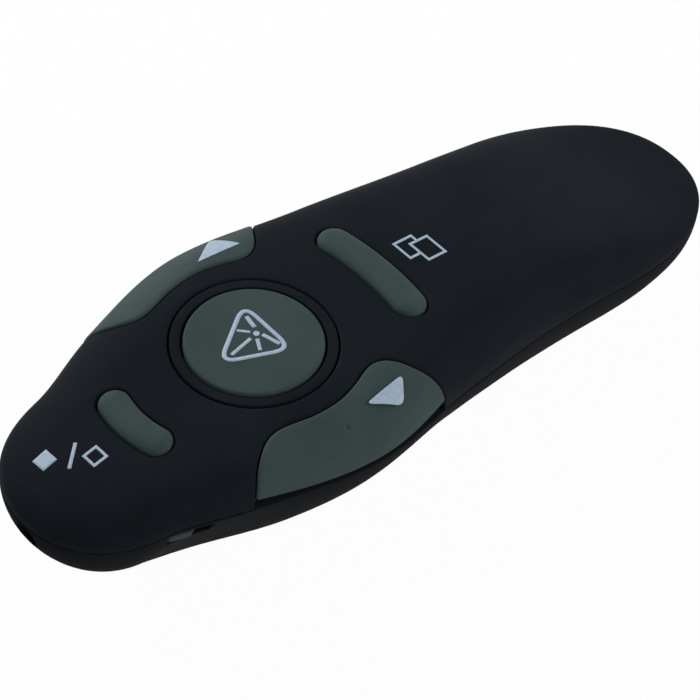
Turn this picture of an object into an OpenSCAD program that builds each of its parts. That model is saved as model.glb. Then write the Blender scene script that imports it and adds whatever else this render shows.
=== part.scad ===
// Wireless presentation clicker: two-shell hand-held body with five keys, a side power switch,
// a laser in the nose, two AAA cells under a lift-off door and a USB receiver stowed in the tail.
// Nose at -Y, tail at +Y, switch side at +X. The underside's flat patch rests at z = 0.

/* [Body] */
// Overall length, nose to tail
body_l = 104; // [98:1:112]
// Width across the page keys, the widest place
body_w = 37; // [36:0.5:40]
// Height of the crown over the table
crown_h = 26; // [25.6:0.2:28]
// Width of the rounded nose
nose_w = 23.4; // [22.6:0.2:26]
// Width of the hand grip
grip_w = 28.4; // [28.2:0.2:32]
// Height of the crown over the parting line beside the round key
shell_rise = 6.4; // [6:0.1:6.8]
// Wall of both shells
wall = 1.6; // [1.4:0.1:1.8]
// Visible groove between the shells
seam_gap = 0.2; // [0.1:0.05:0.3]

/* [Keys] */
// Distance of the round key's centre from the nose
key_at = 33.2; // [32:0.2:34]
// Diameter of the round laser key
laser_key_d = 16.3; // [15:0.1:16.8]
// Outer diameter of the trim ring round it
trim_d = 19.6; // [19:0.1:20.4]
// Length of the rear bar key
rear_bar_l = 16.8; // [14:0.2:18]
// Length of the front bar key
front_bar_l = 10.9; // [9.5:0.1:11.4]
// Clearance between a key and its opening
key_gap = 0.2; // [0.15:0.05:0.3]
// How far the keys stand proud of the shell
key_proud = 0.45; // [0.3:0.05:0.8]
// How far the two bar keys stand proud
bar_proud = 0.8; // [0.5:0.1:1]
// Press travel of every key
key_travel = 0.4; // [0.2:0.05:0.45]

/* [Power switch] */
// Distance of the slot's front end from the nose
slot_at = 10.9; // [10:0.1:11.4]
// Length of the slot
slot_l = 5.6; // [5.2:0.1:6]
// Height of the slot
slot_h = 2.3; // [2:0.1:2.6]
// Length of the sliding knob
knob_l = 3.1; // [2.8:0.1:3.4]

/* [Inside] */
// Thickness of the main board
board_t = 0.8; // [0.6:0.1:1]
// Diameter of one AAA cell
cell_d = 10.4; // [10.2:0.1:10.5]
// Length of one AAA cell with its button
cell_l = 44.5; // [43.5:0.1:44.6]
// Diameter of the laser module
laser_d = 6; // [5.5:0.1:6.4]
// Diameter of the laser port
port_d = 3.4; // [3:0.1:3.8]
// Width of the stowed USB receiver
receiver_w = 15; // [14.4:0.2:15.6]
// Thickness of the stowed USB receiver
receiver_t = 6.4; // [6.2:0.1:6.6]

/* [Hidden] */
seam_h = crown_h - shell_rise;
fine = 64;              // facets of true round features
side_steps = 32;        // rim steps from nose tip to tail tip
rim_n = 2 * side_steps; // points on one full ring

// Places along the body, measured from the nose tip
nose_len = 10.5;
shoulder_at = 21;
shoulder_w = 30.4;
widest_at = 36;
waist_at = 52.5;
waist_w = 32.4;
grip_at = 70;
tail_len = 23;
crown_at = 44;
nose_round = 17.8;
tail_round = 6;
belly_round = 14;

// Drops of the crown and of the parting line towards the two ends
nose_crown_drop = 5.8;
tail_crown_drop = 15.4;
nose_seam_drop = 2.1;
tail_seam_drop = 4.4;

// Belly under the parting line: its low line, pressed flat at the table, and how full its
// section is, from 1 for a wedge to 2 for an ellipse, each [place, value]
low_stations = [[0, 4.5], [9, 1.4], [18, -2.1], [30, -2.7], [60, -3.2], [body_l - 20, -1.7],
                [body_l, 3]];
full_stations = [[0, 1.84], [9, 1.37], [18, 1.08], [30, 1.3], [60, 1.33], [body_l - 14, 1.55],
                 [body_l, 2.46]];
lip_gap = 0.25;         // between the upper wall and the lower shell's inner lip
lip_t = 0.8;
lip_share = 0.2;        // lip's height as a share of the room under the crown

// Exponents of the upper cross-section's rounded shoulder
top_bow = 5;
top_root = 2.37;

function mix(a, b, t) = a + (b - a) * t;
function softplus(x, k) = k * ln(1 + exp(x / k));

// Hermite curve through [place, value] stations
function slope(s, i) =
    let (a = max(i - 1, 0), b = min(i + 1, len(s) - 1)) (s[b][1] - s[a][1]) / (s[b][0] - s[a][0]);
function hermite(p, q, m, n, t, w) =
    p * (2 * pow(t, 3) - 3 * pow(t, 2) + 1) + m * w * (pow(t, 3) - 2 * pow(t, 2) + t)
    + q * (3 * pow(t, 2) - 2 * pow(t, 3)) + n * w * (pow(t, 3) - pow(t, 2));
function span_of(s, d, i = 0) = (i >= len(s) - 2 || d < s[i + 1][0]) ? i : span_of(s, d, i + 1);
function through(s, d) =
    let (i = span_of(s, d), w = s[i + 1][0] - s[i][0], t = (d - s[i][0]) / w)
    hermite(s[i][1], s[i + 1][1], slope(s, i), slope(s, i + 1), t, w);

side_stations = [[0, nose_w / 2], [nose_len, nose_w / 2], [shoulder_at, shoulder_w / 2],
                 [widest_at, body_w / 2], [waist_at, waist_w / 2], [grip_at, grip_w / 2 + 0.2],
                 [body_l, grip_w / 2]];

// Half width of the outline at distance d from the nose
function nose_cap(d) = d >= nose_len ? 1 : sqrt(max(0, 1 - pow(1 - d / nose_len, 2)));
function tail_cap(d) =
    d <= body_l - tail_len ? 1
    : pow(max(0, 1 - pow((d - body_l + tail_len) / tail_len, 2.2)), 1 / 2.2);
function half_w(d) = through(side_stations, d) * nose_cap(d) * tail_cap(d);

// Heights of the parting line, the crown and the belly at distance d from the nose
function seam_z(d) =
    d < key_at ? seam_h - nose_seam_drop * pow(1 - d / key_at, 2)
    : seam_h - tail_seam_drop * pow((d - key_at) / (body_l - key_at), 1.4);
function crown_line(d) =
    d < crown_at ? crown_h - nose_crown_drop * pow(1 - d / crown_at, 2)
    : crown_h - tail_crown_drop * pow((d - crown_at) / (body_l - crown_at), 2.4);
function rise(d) = let (h = crown_line(d) - seam_z(d)) (h + sqrt(h * h + 5)) / 2;
function belly_z(d) = through(low_stations, d);
function fullness(d) = through(full_stations, d);

// Height of the shell's top over any point between the two rounded ends
function top_z(x, d) =
    seam_z(d) + rise(d) * pow(max(0, 1 - pow(min(abs(x) / half_w(d), 1), top_bow)), 1 / top_root);

// Rim of the outline, and the rim drawn in by a distance
function rim_d(j) = body_l * (1 - cos(180 * j / side_steps)) / 2;
function rim(j) =
    let (k = (j + rim_n) % rim_n) k <= side_steps ? [half_w(rim_d(k)), rim_d(k)]
    : [-half_w(rim_d(rim_n - k)), rim_d(rim_n - k)];
function rim_in(j, off) =
    let (a = rim(j - 1), b = rim(j + 1), t = (b - a) / norm(b - a)) rim(j) - off * [t[1], -t[0]];

// The middle line that every ring closes on
function spine(d, tail_r) =
    let (s = nose_round + softplus(d - nose_round, 3.5))
    body_l - tail_r - softplus(body_l - tail_r - s, tail_r / 4);
function ring_xy(j, rho, off, tail_r) =
    let (p = rim_in(j, off), s = spine(p[1], tail_r)) [rho * p[0], s + rho * (p[1] - s)];
function place(x, d, z) = [x, d - body_l / 2, z];
function top_ring(rho, off) =
    [for (j = [0:rim_n - 1]) let (p = ring_xy(j, rho, off, tail_round), d = p[1],
        h = rise(d) * pow(1 - pow(rho, top_bow), 1 / top_root))
        place(p[0], d, seam_z(d) + h * max(0.1, 1 - off / rise(d)))];
function belly_at(rho, d, off) =
    let (e = fullness(d), deep = seam_z(d) - seam_gap - belly_z(d) - off)
    max(off, seam_z(d) - seam_gap - deep * pow(1 - pow(min(rho, 1), e), 1 / e));
function belly_ring(rho, off) =
    [for (j = [0:rim_n - 1]) let (p = ring_xy(j, rho, off, belly_round))
        place(p[0], p[1], belly_at(rho, p[1], off))];
function flat_ring(off, lift) =
    [for (j = [0:rim_n - 1]) let (p = rim_in(j, off)) place(p[0], p[1], seam_z(p[1]) + lift)];

// Ring of the lower shell's inner lip, lifted by a share of the room under the crown
function lip_ring(off, lift, share) =
    [for (j = [0:rim_n - 1]) let (p = rim_in(j, off), d = p[1])
        place(p[0], d, seam_z(d) + lift + share * max(0.1 * rise(d), rise(d) - wall))];

// Closed solid through a list of rings, its two ends closed like a ladder along the middle
function ladder(base, n, flip) =
    let (h = n / 2)
    [for (j = [0:h - 1]) let (a = base + j, b = base + j + 1, c = base + (n - j - 1) % n,
        d = base + (n - j) % n)
        each (j == 0 ? [flip ? [a, c, b] : [a, b, c]]
            : j == h - 1 ? [flip ? [a, d, b] : [a, b, d]]
            : flip ? [[a, d, b], [b, d, c]] : [[a, b, d], [b, c, d]])];
module ring_solid(rings) {
    n = len(rings[0]);
    last = (len(rings) - 1) * n;
    sides = [for (k = [0:len(rings) - 2], j = [0:n - 1]) let (a = k * n + j, b = k * n + (j + 1) % n)
        each [[a, b, a + n], [b, b + n, a + n]]];
    polyhedron([for (r = rings) each r],
        concat(ladder(0, n, true), sides, ladder(last, n, false)));
}

// Key outlines in plan, each [x, distance from the nose]
function disc(r, n = 48) =
    [for (i = [0:n - 1]) [r * cos(360 * i / n), key_at - r * sin(360 * i / n)]];
function bow_bar(at, half, r, bend) =
    let (steps = 8, ends = 8,
        line = function (s) [s, at - bend * s * s / 2],
        side = function (s) [bend * s, 1] / norm([bend * s, 1]))
    concat([for (i = [0:ends - 1]) let (a = 90 - 180 * i / ends + atan(-bend * half))
            line(half) + r * [cos(a), sin(a)]],
        [for (i = [0:steps - 1]) let (s = mix(half, -half, i / steps)) line(s) - r * side(s)],
        [for (i = [0:ends - 1]) let (a = -90 - 180 * i / ends + atan(bend * half))
            line(-half) + r * [cos(a), sin(a)]],
        [for (i = [0:steps - 1]) let (s = mix(-half, half, i / steps)) line(s) + r * side(s)]);

rear_bar_reach = 18.8;   // from the round key's centre to the bar's middle
rear_bar_at = key_at + rear_bar_reach;
rear_bar_r = 2.15;
rear_bar_bend = 0.028;
front_bar_reach = 18;
front_bar_at = key_at - front_bar_reach;
front_bar_r = 1.9;
front_bar_bend = -0.07;
function rear_bar(grow = 0) =
    bow_bar(rear_bar_at, rear_bar_l / 2 - rear_bar_r, rear_bar_r + grow, rear_bar_bend);
function front_bar(grow = 0) =
    bow_bar(front_bar_at, front_bar_l / 2 - front_bar_r, front_bar_r + grow, front_bar_bend);

trim_gap = 0.15;

// Page key's inner edge: stations from its front end to its rear end, each [distance outside the
// trim ring's side, distance behind the round key], joined by a smooth curve
page_stations = [[3.8, -11.2], [2.5, -9.5], [1.75, -7.9], [1.62, -6.3], [1.95, -4.6],
                 [2.55, -2.2], [2.8, 0.2], [2.7, 2.4], [2.15, 4.7], [1.35, 6.9], [1.1, 8.4],
                 [1.5, 9.8], [2.5, 11], [4.1, 12.25], [5.8, 13.7]];
page_front = -12.5;
page_rear = 14.9;
page_arc = trim_d / 2 + 2.8;
function page_point(i) = let (s = page_stations[min(max(i, 0), len(page_stations) - 1)])
    [trim_d / 2 + s[0], key_at + s[1]];
function page_curve(i, t) =
    let (a = page_point(i - 1), b = page_point(i), c = page_point(i + 1), d = page_point(i + 2))
    b + t * (c - a) / 2 + t * t * (a - 2.5 * b + 2 * c - d / 2)
    + pow(t, 3) * (1.5 * (b - c) + (d - a) / 2);
function page_line() = concat([for (i = [0:len(page_stations) - 2], t = [0, 0.5]) page_curve(i, t)],
    [page_point(len(page_stations) - 1)]);
function grown(line, grow) = [for (i = [0:len(line) - 1])
    let (a = line[max(i - 1, 0)], b = line[min(i + 1, len(line) - 1)], t = (b - a) / norm(b - a))
    line[i] + grow * [-t[1], t[0]]];
function page_key_edge(grow = 0) =
    let (fd = key_at + page_front - grow, rd = key_at + page_rear + grow)
    concat([[half_w(fd) - 0.02, fd]], grown(page_line(), grow), [[half_w(rd) - 0.02, rd]]);
function page_key_side() =
    [for (i = [1:7]) let (d = key_at + mix(page_rear, page_front, i / 8)) [half_w(d) - 0.02, d]];
function page_key_plan() = concat(page_key_edge(), page_key_side());

// Room inside the page key's outer wall, under its flat part
function page_key_inside() = concat([[0, key_at + page_rear + 1], [0, key_at + page_front - 1]],
    [for (i = [0:10]) let (d = key_at + mix(page_front - 1, page_rear + 1, i / 10))
        [half_w(d) - 1.7, d]]);

// Solid cap over a plan outline: its top follows the shell, its underside is flat, or follows
// the parting line
module key_cap(plan, middle, under, proud, round_off, follow = 0) {
    n = len(plan);
    steps = [[0.3, 1], [0.6, 0.97], [0.84, 0.85], [0.95, 0.6], [1, 0]];
    rings = concat(
        [for (s = steps) [for (p = plan) let (q = middle + s[0] * (p - middle))
            place(q[0], q[1], top_z(q[0], q[1]) + mix(proud - round_off, proud, s[1]))]],
        [[for (p = plan) place(p[0], p[1], under + follow * (seam_z(p[1]) - seam_h))]]);
    last = (len(rings) - 1) * n;
    tip = len(rings) * n;
    polyhedron(
        concat([for (r = rings) each r],
            [place(middle[0], middle[1], top_z(middle[0], middle[1]) + proud),
             place(middle[0], middle[1], under + follow * (seam_z(middle[1]) - seam_h))]),
        concat([for (j = [0:n - 1]) [tip, j, (j + 1) % n]],
            [for (k = [0:len(rings) - 2], j = [0:n - 1]) let (a = k * n + j, b = k * n + (j + 1) % n)
                each [[a, a + n, b], [b, a + n, b + n]]],
            [for (j = [0:n - 1]) [tip + 1, last + (j + 1) % n, last + j]]));
}

module plan_cut(plan, low, high) {
    translate([0, -body_l / 2, low]) linear_extrude(high - low) polygon(plan);
}

// Levels of the inner stack, from the keys' undersides down to the cells
key_depth = 3.85;
cap_under = crown_h - key_depth;
tact_w = 4.5;
tact_h = 1.5;
plunger_d = 2;
plunger_up = 0.6;
plunger_fit = 0.06;
post_z = cap_under - key_travel;
post_d = 2.6;
flange_t = 0.5;
flange_w = 0.6;
board_top = post_z - plunger_up - tact_h;
board_z = board_top - board_t;
board_front = 10;
board_rear = 62;
board_margin = 3.2;
pad_h = 0.15;
roof_t = 0.6;
roof_z = board_z - pad_h - roof_t;
cell_gap = 0.15;
cell_x = cell_d / 2 + 0.1;
cell_z = roof_z - cell_gap - cell_d / 2;
bay_half = cell_x + cell_d / 2 + cell_gap;
bay_wall = 1;
bay_front = 22;
bay_l = cell_l + 6.4;
bay_rear = bay_front + bay_l;
door_gap = 0.25;
door_t = 1.2;

// Where each key is pressed, [x, distance from the nose]
page_press = [half_w(key_at - tact_w / 2 + 1) - wall - lip_gap - lip_t - tact_w / 2 - 0.25,
    key_at + 1];
press_points = [[0, key_at], page_press, [-page_press[0], page_press[1]], [0, rear_bar_at],
                [0, front_bar_at]];

// Laser, power switch and receiver
port_z = seam_z(0) - seam_gap - port_d / 2 - 0.2;
laser_front = 3.2;
laser_l = 10;
slot_turn = atan((half_w(slot_at + slot_l) - half_w(slot_at)) / slot_l);
slot_z = seam_z(slot_at) - seam_gap - 0.3 - slot_h;
slot_mid = slot_at + slot_l / 2;
knob_play = 0.15;
switch_l = 6.6;
switch_h = 2.6;
switch_deep = 2.4;
receiver_gap = 0.15;
receiver_z = 7.4;
receiver_front = 88;
plug_w = 12;
plug_h = 4.5;
plug_l = 12;
plug_wall = 0.35;

// Screws: one by the front bar key, two behind the cell bay
nose_screw = [0, 19.4];
tail_screws = [[5, 76.15], [-5, 76.15]];
screw_d = 2;
screw_fit = 0.05;
head_d = 3.6;
head_h = 1.4;
boss_d = 3.8;
nose_head_z = 6;
tail_head_z = 9;
tail_split_z = 15;

// How far out a point lies, 0 on the middle line and 1 on the rim drawn in by a distance: the
// ring through it is found by halving
function rho_at(x, d, off, low = 0, high = body_l, n = 30) =
    let (t = (low + high) / 2, s = spine(t, belly_round), q = x / max(half_w(t) - off, 0.001))
    n == 0 ? q : s + q * (t - s) > d ? rho_at(x, d, off, low, t, n - 1)
    : rho_at(x, d, off, t, high, n - 1);
function under_z(x, d, off) = belly_at(rho_at(max(abs(x), 0.05), d, off), d, off);

module at(x, d, z) { translate([x, d - body_l / 2, z]) children(); }
module both() { children(); mirror([1, 0, 0]) children(); }
module rod(p, z, dia, h) { at(p[0], p[1], z) cylinder(d = dia, h = h, $fn = fine); }

// A block whose long side lies along the power switch's slot, x = 0 on the body's outer face
module along_slot(deep, out, l, z, h, shift = 0) {
    at(half_w(slot_mid), slot_mid, z) rotate([0, 0, -slot_turn])
        translate([-deep, shift - l / 2, 0]) cube([deep + out, l, h]);
}

module belly_solid(off) {
    ring_solid(concat([flat_ring(off, -seam_gap)],
        [for (r = [0.98, 0.94, 0.88, 0.8, 0.7, 0.58, 0.45, 0.32, 0.2, 0.06]) belly_ring(r, off)]));
}

module door_plan(gap) {
    at(-bay_half + gap, bay_front + gap, -1) cube([2 * (bay_half - gap), bay_l - 2 * gap, cell_z + 1]);
}

module receiver_box(gap, front, l) {
    at(-receiver_w / 2 - gap, front, receiver_z - gap)
        cube([receiver_w + 2 * gap, l, receiver_t + 2 * gap]);
}

// Bay for the cells: side walls that follow the belly, two end walls and a roof
module bay_walls() {
    steps = 10;
    top = roof_z + roof_t;
    both() at(bay_half, 0, 0) rotate([90, 0, 90]) linear_extrude(bay_wall) polygon(concat(
        [[bay_rear + bay_wall, top], [bay_front - bay_wall, top]],
        [for (i = [0:steps]) let (d = mix(bay_front - bay_wall, bay_rear + bay_wall, i / steps))
            [d, under_z(bay_half, d, wall) - 0.3]]));
    for (d = [bay_front - bay_wall, bay_rear])
        at(0, d + bay_wall, 0) rotate([90, 0, 0]) linear_extrude(bay_wall) polygon(concat(
            [[bay_half + bay_wall, top], [-bay_half - bay_wall, top]],
            [for (i = [0:steps]) let (x = mix(-bay_half - bay_wall, bay_half + bay_wall, i / steps))
                [x, under_z(x, d + bay_wall / 2, wall / 2)]]));
    at(-bay_half - 0.5, bay_front - 0.5, roof_z) cube([2 * bay_half + 1, bay_l + 1, roof_t]);
    both() at(6, board_rear - 4, roof_z) cube([3, 2, roof_t + pad_h]);
}

module laser_cradle() {
    half = laser_d / 2 + 1;
    for (d = [laser_front + 5, laser_front + laser_l - 1.8]) let (low = under_z(half, d, wall) - 0.3)
        at(-half, d, low) cube([2 * half, 1.4, port_z - low]);
}

module upper_shell() {
    tail_top = tail_split_z;
    color([0.11, 0.12, 0.14]) difference() {
        union() {
            ring_solid(concat(
                [for (r = [0.25, 0.45, 0.62, 0.76, 0.87, 0.94, 0.98]) top_ring(r, 0)],
                [flat_ring(0, 0), flat_ring(wall, 0)],
                [for (r = [0.985, 0.95, 0.85, 0.65, 0.3]) top_ring(r, wall)]));
            rod(nose_screw, board_top, boss_d, top_z(0, nose_screw[1]) - wall / 2 - board_top);
            for (p = tail_screws)
                rod(p, tail_top, boss_d, top_z(p[0], p[1]) - wall / 2 - tail_top);
        }
        at(0, key_at, seam_h) cylinder(d = trim_d, h = crown_h, $fn = fine);
        plan_cut(rear_bar(key_gap), seam_h, 2 * crown_h);
        plan_cut(front_bar(key_gap), seam_h, 2 * crown_h);
        both() plan_cut(concat(page_key_edge(key_gap),
            [[body_w, key_at + page_rear + key_gap], [body_w, key_at + page_front - key_gap]]),
            0, 2 * crown_h);
        rod(nose_screw, board_top - 1, screw_d + 2 * screw_fit, 2.6);
        for (p = tail_screws) rod(p, tail_top - 1, screw_d + 2 * screw_fit, 4.2);
    }
}

module lower_shell() {
    color([0.11, 0.12, 0.14]) difference() {
        union() {
            ring_solid(concat(
                [for (r = [0.06, 0.3, 0.5, 0.68, 0.84, 0.95]) belly_ring(r, wall)],
                [lip_ring(wall, -seam_gap - 1.2, 0), lip_ring(wall + lip_gap + lip_t, -seam_gap - 0.4, 0),
                 lip_ring(wall + lip_gap + lip_t, 0, lip_share),
                 lip_ring(wall + lip_gap, 0, lip_share), flat_ring(wall + lip_gap, -seam_gap),
                 flat_ring(0, -seam_gap)],
                [for (r = [0.98, 0.94, 0.88, 0.8, 0.7, 0.58, 0.45, 0.32, 0.2, 0.06]) belly_ring(r, 0)]));
            bay_walls();
            laser_cradle();
            rod(nose_screw, wall - 0.3, head_d + 1.4, nose_head_z + 1.5 - wall);
            rod(nose_screw, wall / 2, boss_d, board_z - wall / 2);
            for (p = tail_screws) let (low = under_z(abs(p[0]) + head_d / 2, p[1], wall) - 0.4) {
                rod(p, low, head_d + 1, tail_head_z + 1.2 - low);
                rod(p, low, boss_d, tail_split_z - low);
            }
            receiver_box(1, receiver_front - 3, 7);
        }
        door_plan(0);
        receiver_box(receiver_gap, receiver_front - 4, 30);
        at(0, laser_front, port_z) rotate([90, 0, 0]) cylinder(d = port_d, h = laser_front + 1, $fn = fine);
        at(0, laser_front + laser_l, port_z) rotate([90, 0, 0])
            cylinder(d = laser_d + 0.1, h = laser_l, $fn = fine);
        along_slot(3.2, 1, slot_l, slot_z, slot_h);
        rod(nose_screw, -1, head_d + 0.4, nose_head_z + 1);
        rod(nose_screw, -1, screw_d + 0.3, crown_h);
        for (p = tail_screws) {
            rod(p, -1, head_d + 0.4, tail_head_z + 1);
            rod(p, -1, screw_d + 0.3, crown_h);
        }
        both() at(4.4, bay_front + 0.1, roof_z - 1) cube([2, 0.7, 3]);
    }
}

module battery_door() {
    color([0.11, 0.12, 0.14]) intersection() {
        difference() {
            belly_solid(0);
            translate([0, 0, 0.02]) belly_solid(door_t);
        }
        door_plan(door_gap);
    }
}

module trim_ring() {
    color([0.09, 0.1, 0.11]) difference() {
        union() {
            key_cap(disc(trim_d / 2 - trim_gap), [0, key_at], cap_under + flange_t + 0.1, 0.1, 0.35);
            rod([0, key_at], cap_under + flange_t + 0.1, trim_d + 2 * flange_w, flange_t);
        }
        rod([0, key_at], cap_under, laser_key_d + 2 * key_gap, crown_h);
    }
}

module laser_key() {
    color([0.24, 0.29, 0.29]) {
        difference() {
            union() {
                key_cap(disc(laser_key_d / 2), [0, key_at], cap_under, key_proud, 0.5);
                rod([0, key_at], cap_under, laser_key_d + 2 * flange_w, flange_t);
            }
            rod([0, key_at], cap_under - 1, laser_key_d - 3, 2.4);
        }
        rod([0, key_at], post_z, post_d, 2.4);
    }
}

module page_key() {
    color([0.22, 0.27, 0.27]) {
        difference() {
            union() {
                key_cap(page_key_plan(), [15, key_at + 1], seam_h + 0.45, 0.15, 0.1, 1);
                at(page_arc - 2 * flange_w, key_at - 5, cap_under + 0.15)
                    cube([3, 10, flange_t]);
            }
            plan_cut(page_key_inside(), 0, cap_under + 0.1);
        }
        rod(page_press, post_z, post_d, cap_under + 0.15 + flange_t - post_z);
    }
}
module page_key_right() { page_key(); }
module page_key_left() { mirror([1, 0, 0]) page_key(); }

module rear_bar_key() {
    color([0.25, 0.29, 0.28]) {
        key_cap(rear_bar(), [0, rear_bar_at], cap_under, bar_proud, 0.7);
        plan_cut(rear_bar(flange_w), cap_under, cap_under + flange_t);
        rod([0, rear_bar_at], post_z, post_d, 1);
    }
}

module front_bar_key() {
    color([0.25, 0.29, 0.28]) {
        key_cap(front_bar(), [0, front_bar_at], cap_under, bar_proud, 0.7);
        rod([0, front_bar_at], post_z, post_d, 1);
    }
}

// Plungers run in the tact switches' bores
module plunger(p) {
    color([0.75, 0.2, 0.18]) rod(p, board_top + key_travel + 0.3, plunger_d,
        tact_h + plunger_up - key_travel - 0.3);
}
module laser_plunger() { plunger(press_points[0]); }
module right_plunger() { plunger(press_points[1]); }
module left_plunger() { plunger(press_points[2]); }
module rear_plunger() { plunger(press_points[3]); }
module front_plunger() { plunger(press_points[4]); }

module tact_switches() {
    color([0.16, 0.16, 0.17]) for (p = press_points) difference() {
        at(p[0] - tact_w / 2, p[1] - tact_w / 2, board_top) cube([tact_w, tact_w, tact_h]);
        rod(p, board_top + 0.2, plunger_d + 2 * plunger_fit, tact_h);
    }
}

// Power switch: the knob in the slot, the lever behind it and the switch body under the board
knob_rest = -(slot_l - knob_l) / 2 + knob_play;
module power_knob() {
    color([0.2, 0.24, 0.24]) intersection() {
        along_slot(1.9, 1, knob_l, slot_z + knob_play, slot_h - 2 * knob_play, knob_rest);
        belly_solid(-0.15);
    }
}
switch_in = 3.5;         // from the body's side to the switch's case
module power_lever() {
    color([0.8, 0.8, 0.78])
        along_slot(switch_in + 1.2, -1.9, 1, slot_z + slot_h / 2 - 0.5, 1, knob_rest);
}
module power_switch() {
    color([0.7, 0.71, 0.73]) difference() {
        along_slot(switch_in + switch_deep, -switch_in, switch_l, board_z - switch_h, switch_h);
        along_slot(switch_in + 1.4, 0, slot_l - knob_l + 1 + 2 * knob_play + 0.6,
            slot_z + slot_h / 2 - 0.6, 1.2);
    }
}

module laser_barrel() {
    color([0.78, 0.62, 0.3]) at(0, laser_front, port_z) rotate([-90, 0, 0]) difference() {
        cylinder(d = laser_d, h = laser_l, $fn = fine);
        translate([0, 0, -1]) cylinder(d = port_d, h = 2.2, $fn = fine);
        translate([0, 0, -1]) cylinder(d = port_d - 1, h = 6, $fn = fine);
        for (z = [2.5, 3.6]) translate([0, 0, z]) difference() {
            cylinder(d = laser_d + 1, h = 0.4, $fn = fine);
            cylinder(d = laser_d - 0.5, h = 1, center = true, $fn = fine);
        }
    }
}
module laser_lens() {
    color([0.75, 0.85, 0.9]) at(0, laser_front + 1.2, port_z) rotate([90, 0, 0])
        cylinder(d = port_d - 0.1, h = 0.8, $fn = fine);
}
module laser_board() {
    color([0.1, 0.35, 0.2]) at(-2.4, laser_front + laser_l + 0.05, port_z - 2)
        cube([4.8, 0.8, 4]);
}

// Round tube through points: a ring of corners at each point, square to the run there
function run_dir(p, i) =
    let (a = p[max(i - 1, 0)], b = p[min(i + 1, len(p) - 1)]) (b - a) / norm(b - a);
function tube_ring(c, t, r, n) =
    let (u = cross(t, abs(t[0]) < 0.9 ? [1, 0, 0] : [0, 0, 1]), v = u / norm(u), w = cross(v, t))
    [for (i = [0:n - 1]) c + r * (cos(360 * i / n) * v + sin(360 * i / n) * w)];
module tube(points, r, n) {
    k = len(points);
    polyhedron([for (i = [0:k - 1]) each tube_ring(points[i], run_dir(points, i), r, n)], concat(
        [[for (j = [n - 1:-1:0]) j]],
        [for (i = [0:k - 2], j = [0:n - 1]) let (a = i * n + j, b = i * n + (j + 1) % n)
            each [[a, b, a + n], [b, b + n, a + n]]],
        [[for (j = [0:n - 1]) (k - 1) * n + j]]));
}

lead_d = 0.8;
function lead_route(x) =
    let (z = port_z + 1, d = laser_front + laser_l + 0.9 - body_l / 2)
    concat([[x, d, z], [x, d + 0.6, z]],
        let (r = board_z - z - 0.05)
        [for (a = [15:15:90]) [x, d + 0.6 + r * sin(a), z + r * (1 - cos(a))]]);
module laser_leads() {
    color([0.7, 0.15, 0.12]) tube(lead_route(1.2), lead_d / 2, 8);
    color([0.12, 0.12, 0.14]) tube(lead_route(-1.2), lead_d / 2, 8);
}

module main_board() {
    side = [for (i = [0:12]) let (d = mix(board_front, board_rear, i / 12)) [half_w(d) - board_margin, d]];
    color([0.08, 0.32, 0.2]) difference() {
        plan_cut(concat(side, [for (i = [12:-1:0]) [-side[i][0], side[i][1]]]), board_z, board_top);
        rod(nose_screw, board_z - 1, screw_d + 0.4, board_t + 2);
    }
}

// Places on the board spread with its width and hang from the round key
spread = (half_w(48) - board_margin) / 13.6;
module chip(x, d, w, l, h) {
    at(x * spread - w / 2, d - l / 2, board_top) cube([w, l, h]);
}
module radio_chip() {
    color([0.08, 0.08, 0.09]) chip(-6.5, 45, 4, 4, 0.9);
}
module controller_chip() {
    color([0.08, 0.08, 0.09]) chip(6.5, 44.6, 3.9, 6, 1.3);
    color([0.75, 0.75, 0.77]) for (i = [-2:2], s = [-1, 1])
        chip(6.5 + s * 2.3, 44.6 + i * 1.1, 0.7, 0.4, 0.4);
}
module crystal() {
    color([0.8, 0.8, 0.82]) chip(-6.5, 58, 3.2, 2.5, 0.8);
}
module board_capacitors() {
    color([0.66, 0.52, 0.36]) for (p = [[-10, 42], [-10, 45], [-2, 43.6], [10, 49], [-9.5, 58], [-3.5, 57]])
        chip(p[0], p[1], 0.8, 1.6, 0.7);
}
module board_resistors() {
    color([0.1, 0.1, 0.11]) for (p = [[10, 40], [10, 43], [2, 43.6], [-10, 49.5], [3, 57.5]])
        chip(p[0], p[1], 0.8, 1.6, 0.5);
}
module antenna() {
    turn = 2;
    color([0.8, 0.5, 0.3]) for (i = [0:3]) {
        chip(5.3 + i * turn, 59.6, 0.5, 3, 0.12);
        if (i < 3) chip(5.3 + (i + 0.5) * turn, i % 2 == 0 ? 60.9 : 58.3, turn + 0.5, 0.5, 0.12);
    }
}

// Cells lie side by side, turned end for end
contact_t = 0.4;
contact_at = 0.2;
spring_turns = 4;
spring_wire = 0.6;
spring_l = 4.8;
button_h = 0.9;
module cell(x, near, way) {
    at(x, near, cell_z) rotate([-90 * way, 0, 0]) rotate_extrude($fn = fine) polygon([[0, 0],
        [cell_d / 2 - 0.4, 0], [cell_d / 2, 0.4], [cell_d / 2, cell_l - button_h - 0.5],
        [cell_d / 2 - 0.5, cell_l - button_h], [1.9, cell_l - button_h], [1.9, cell_l], [0, cell_l]]);
}
left_minus = bay_front + contact_at + contact_t + spring_l + 0.1;
right_plus = bay_front + contact_at + contact_t + 0.05;
module cell_left() { color([0.72, 0.5, 0.2]) cell(-cell_x, left_minus, 1); }
module cell_right() { color([0.72, 0.5, 0.2]) cell(cell_x, right_plus + cell_l, -1); }

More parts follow.
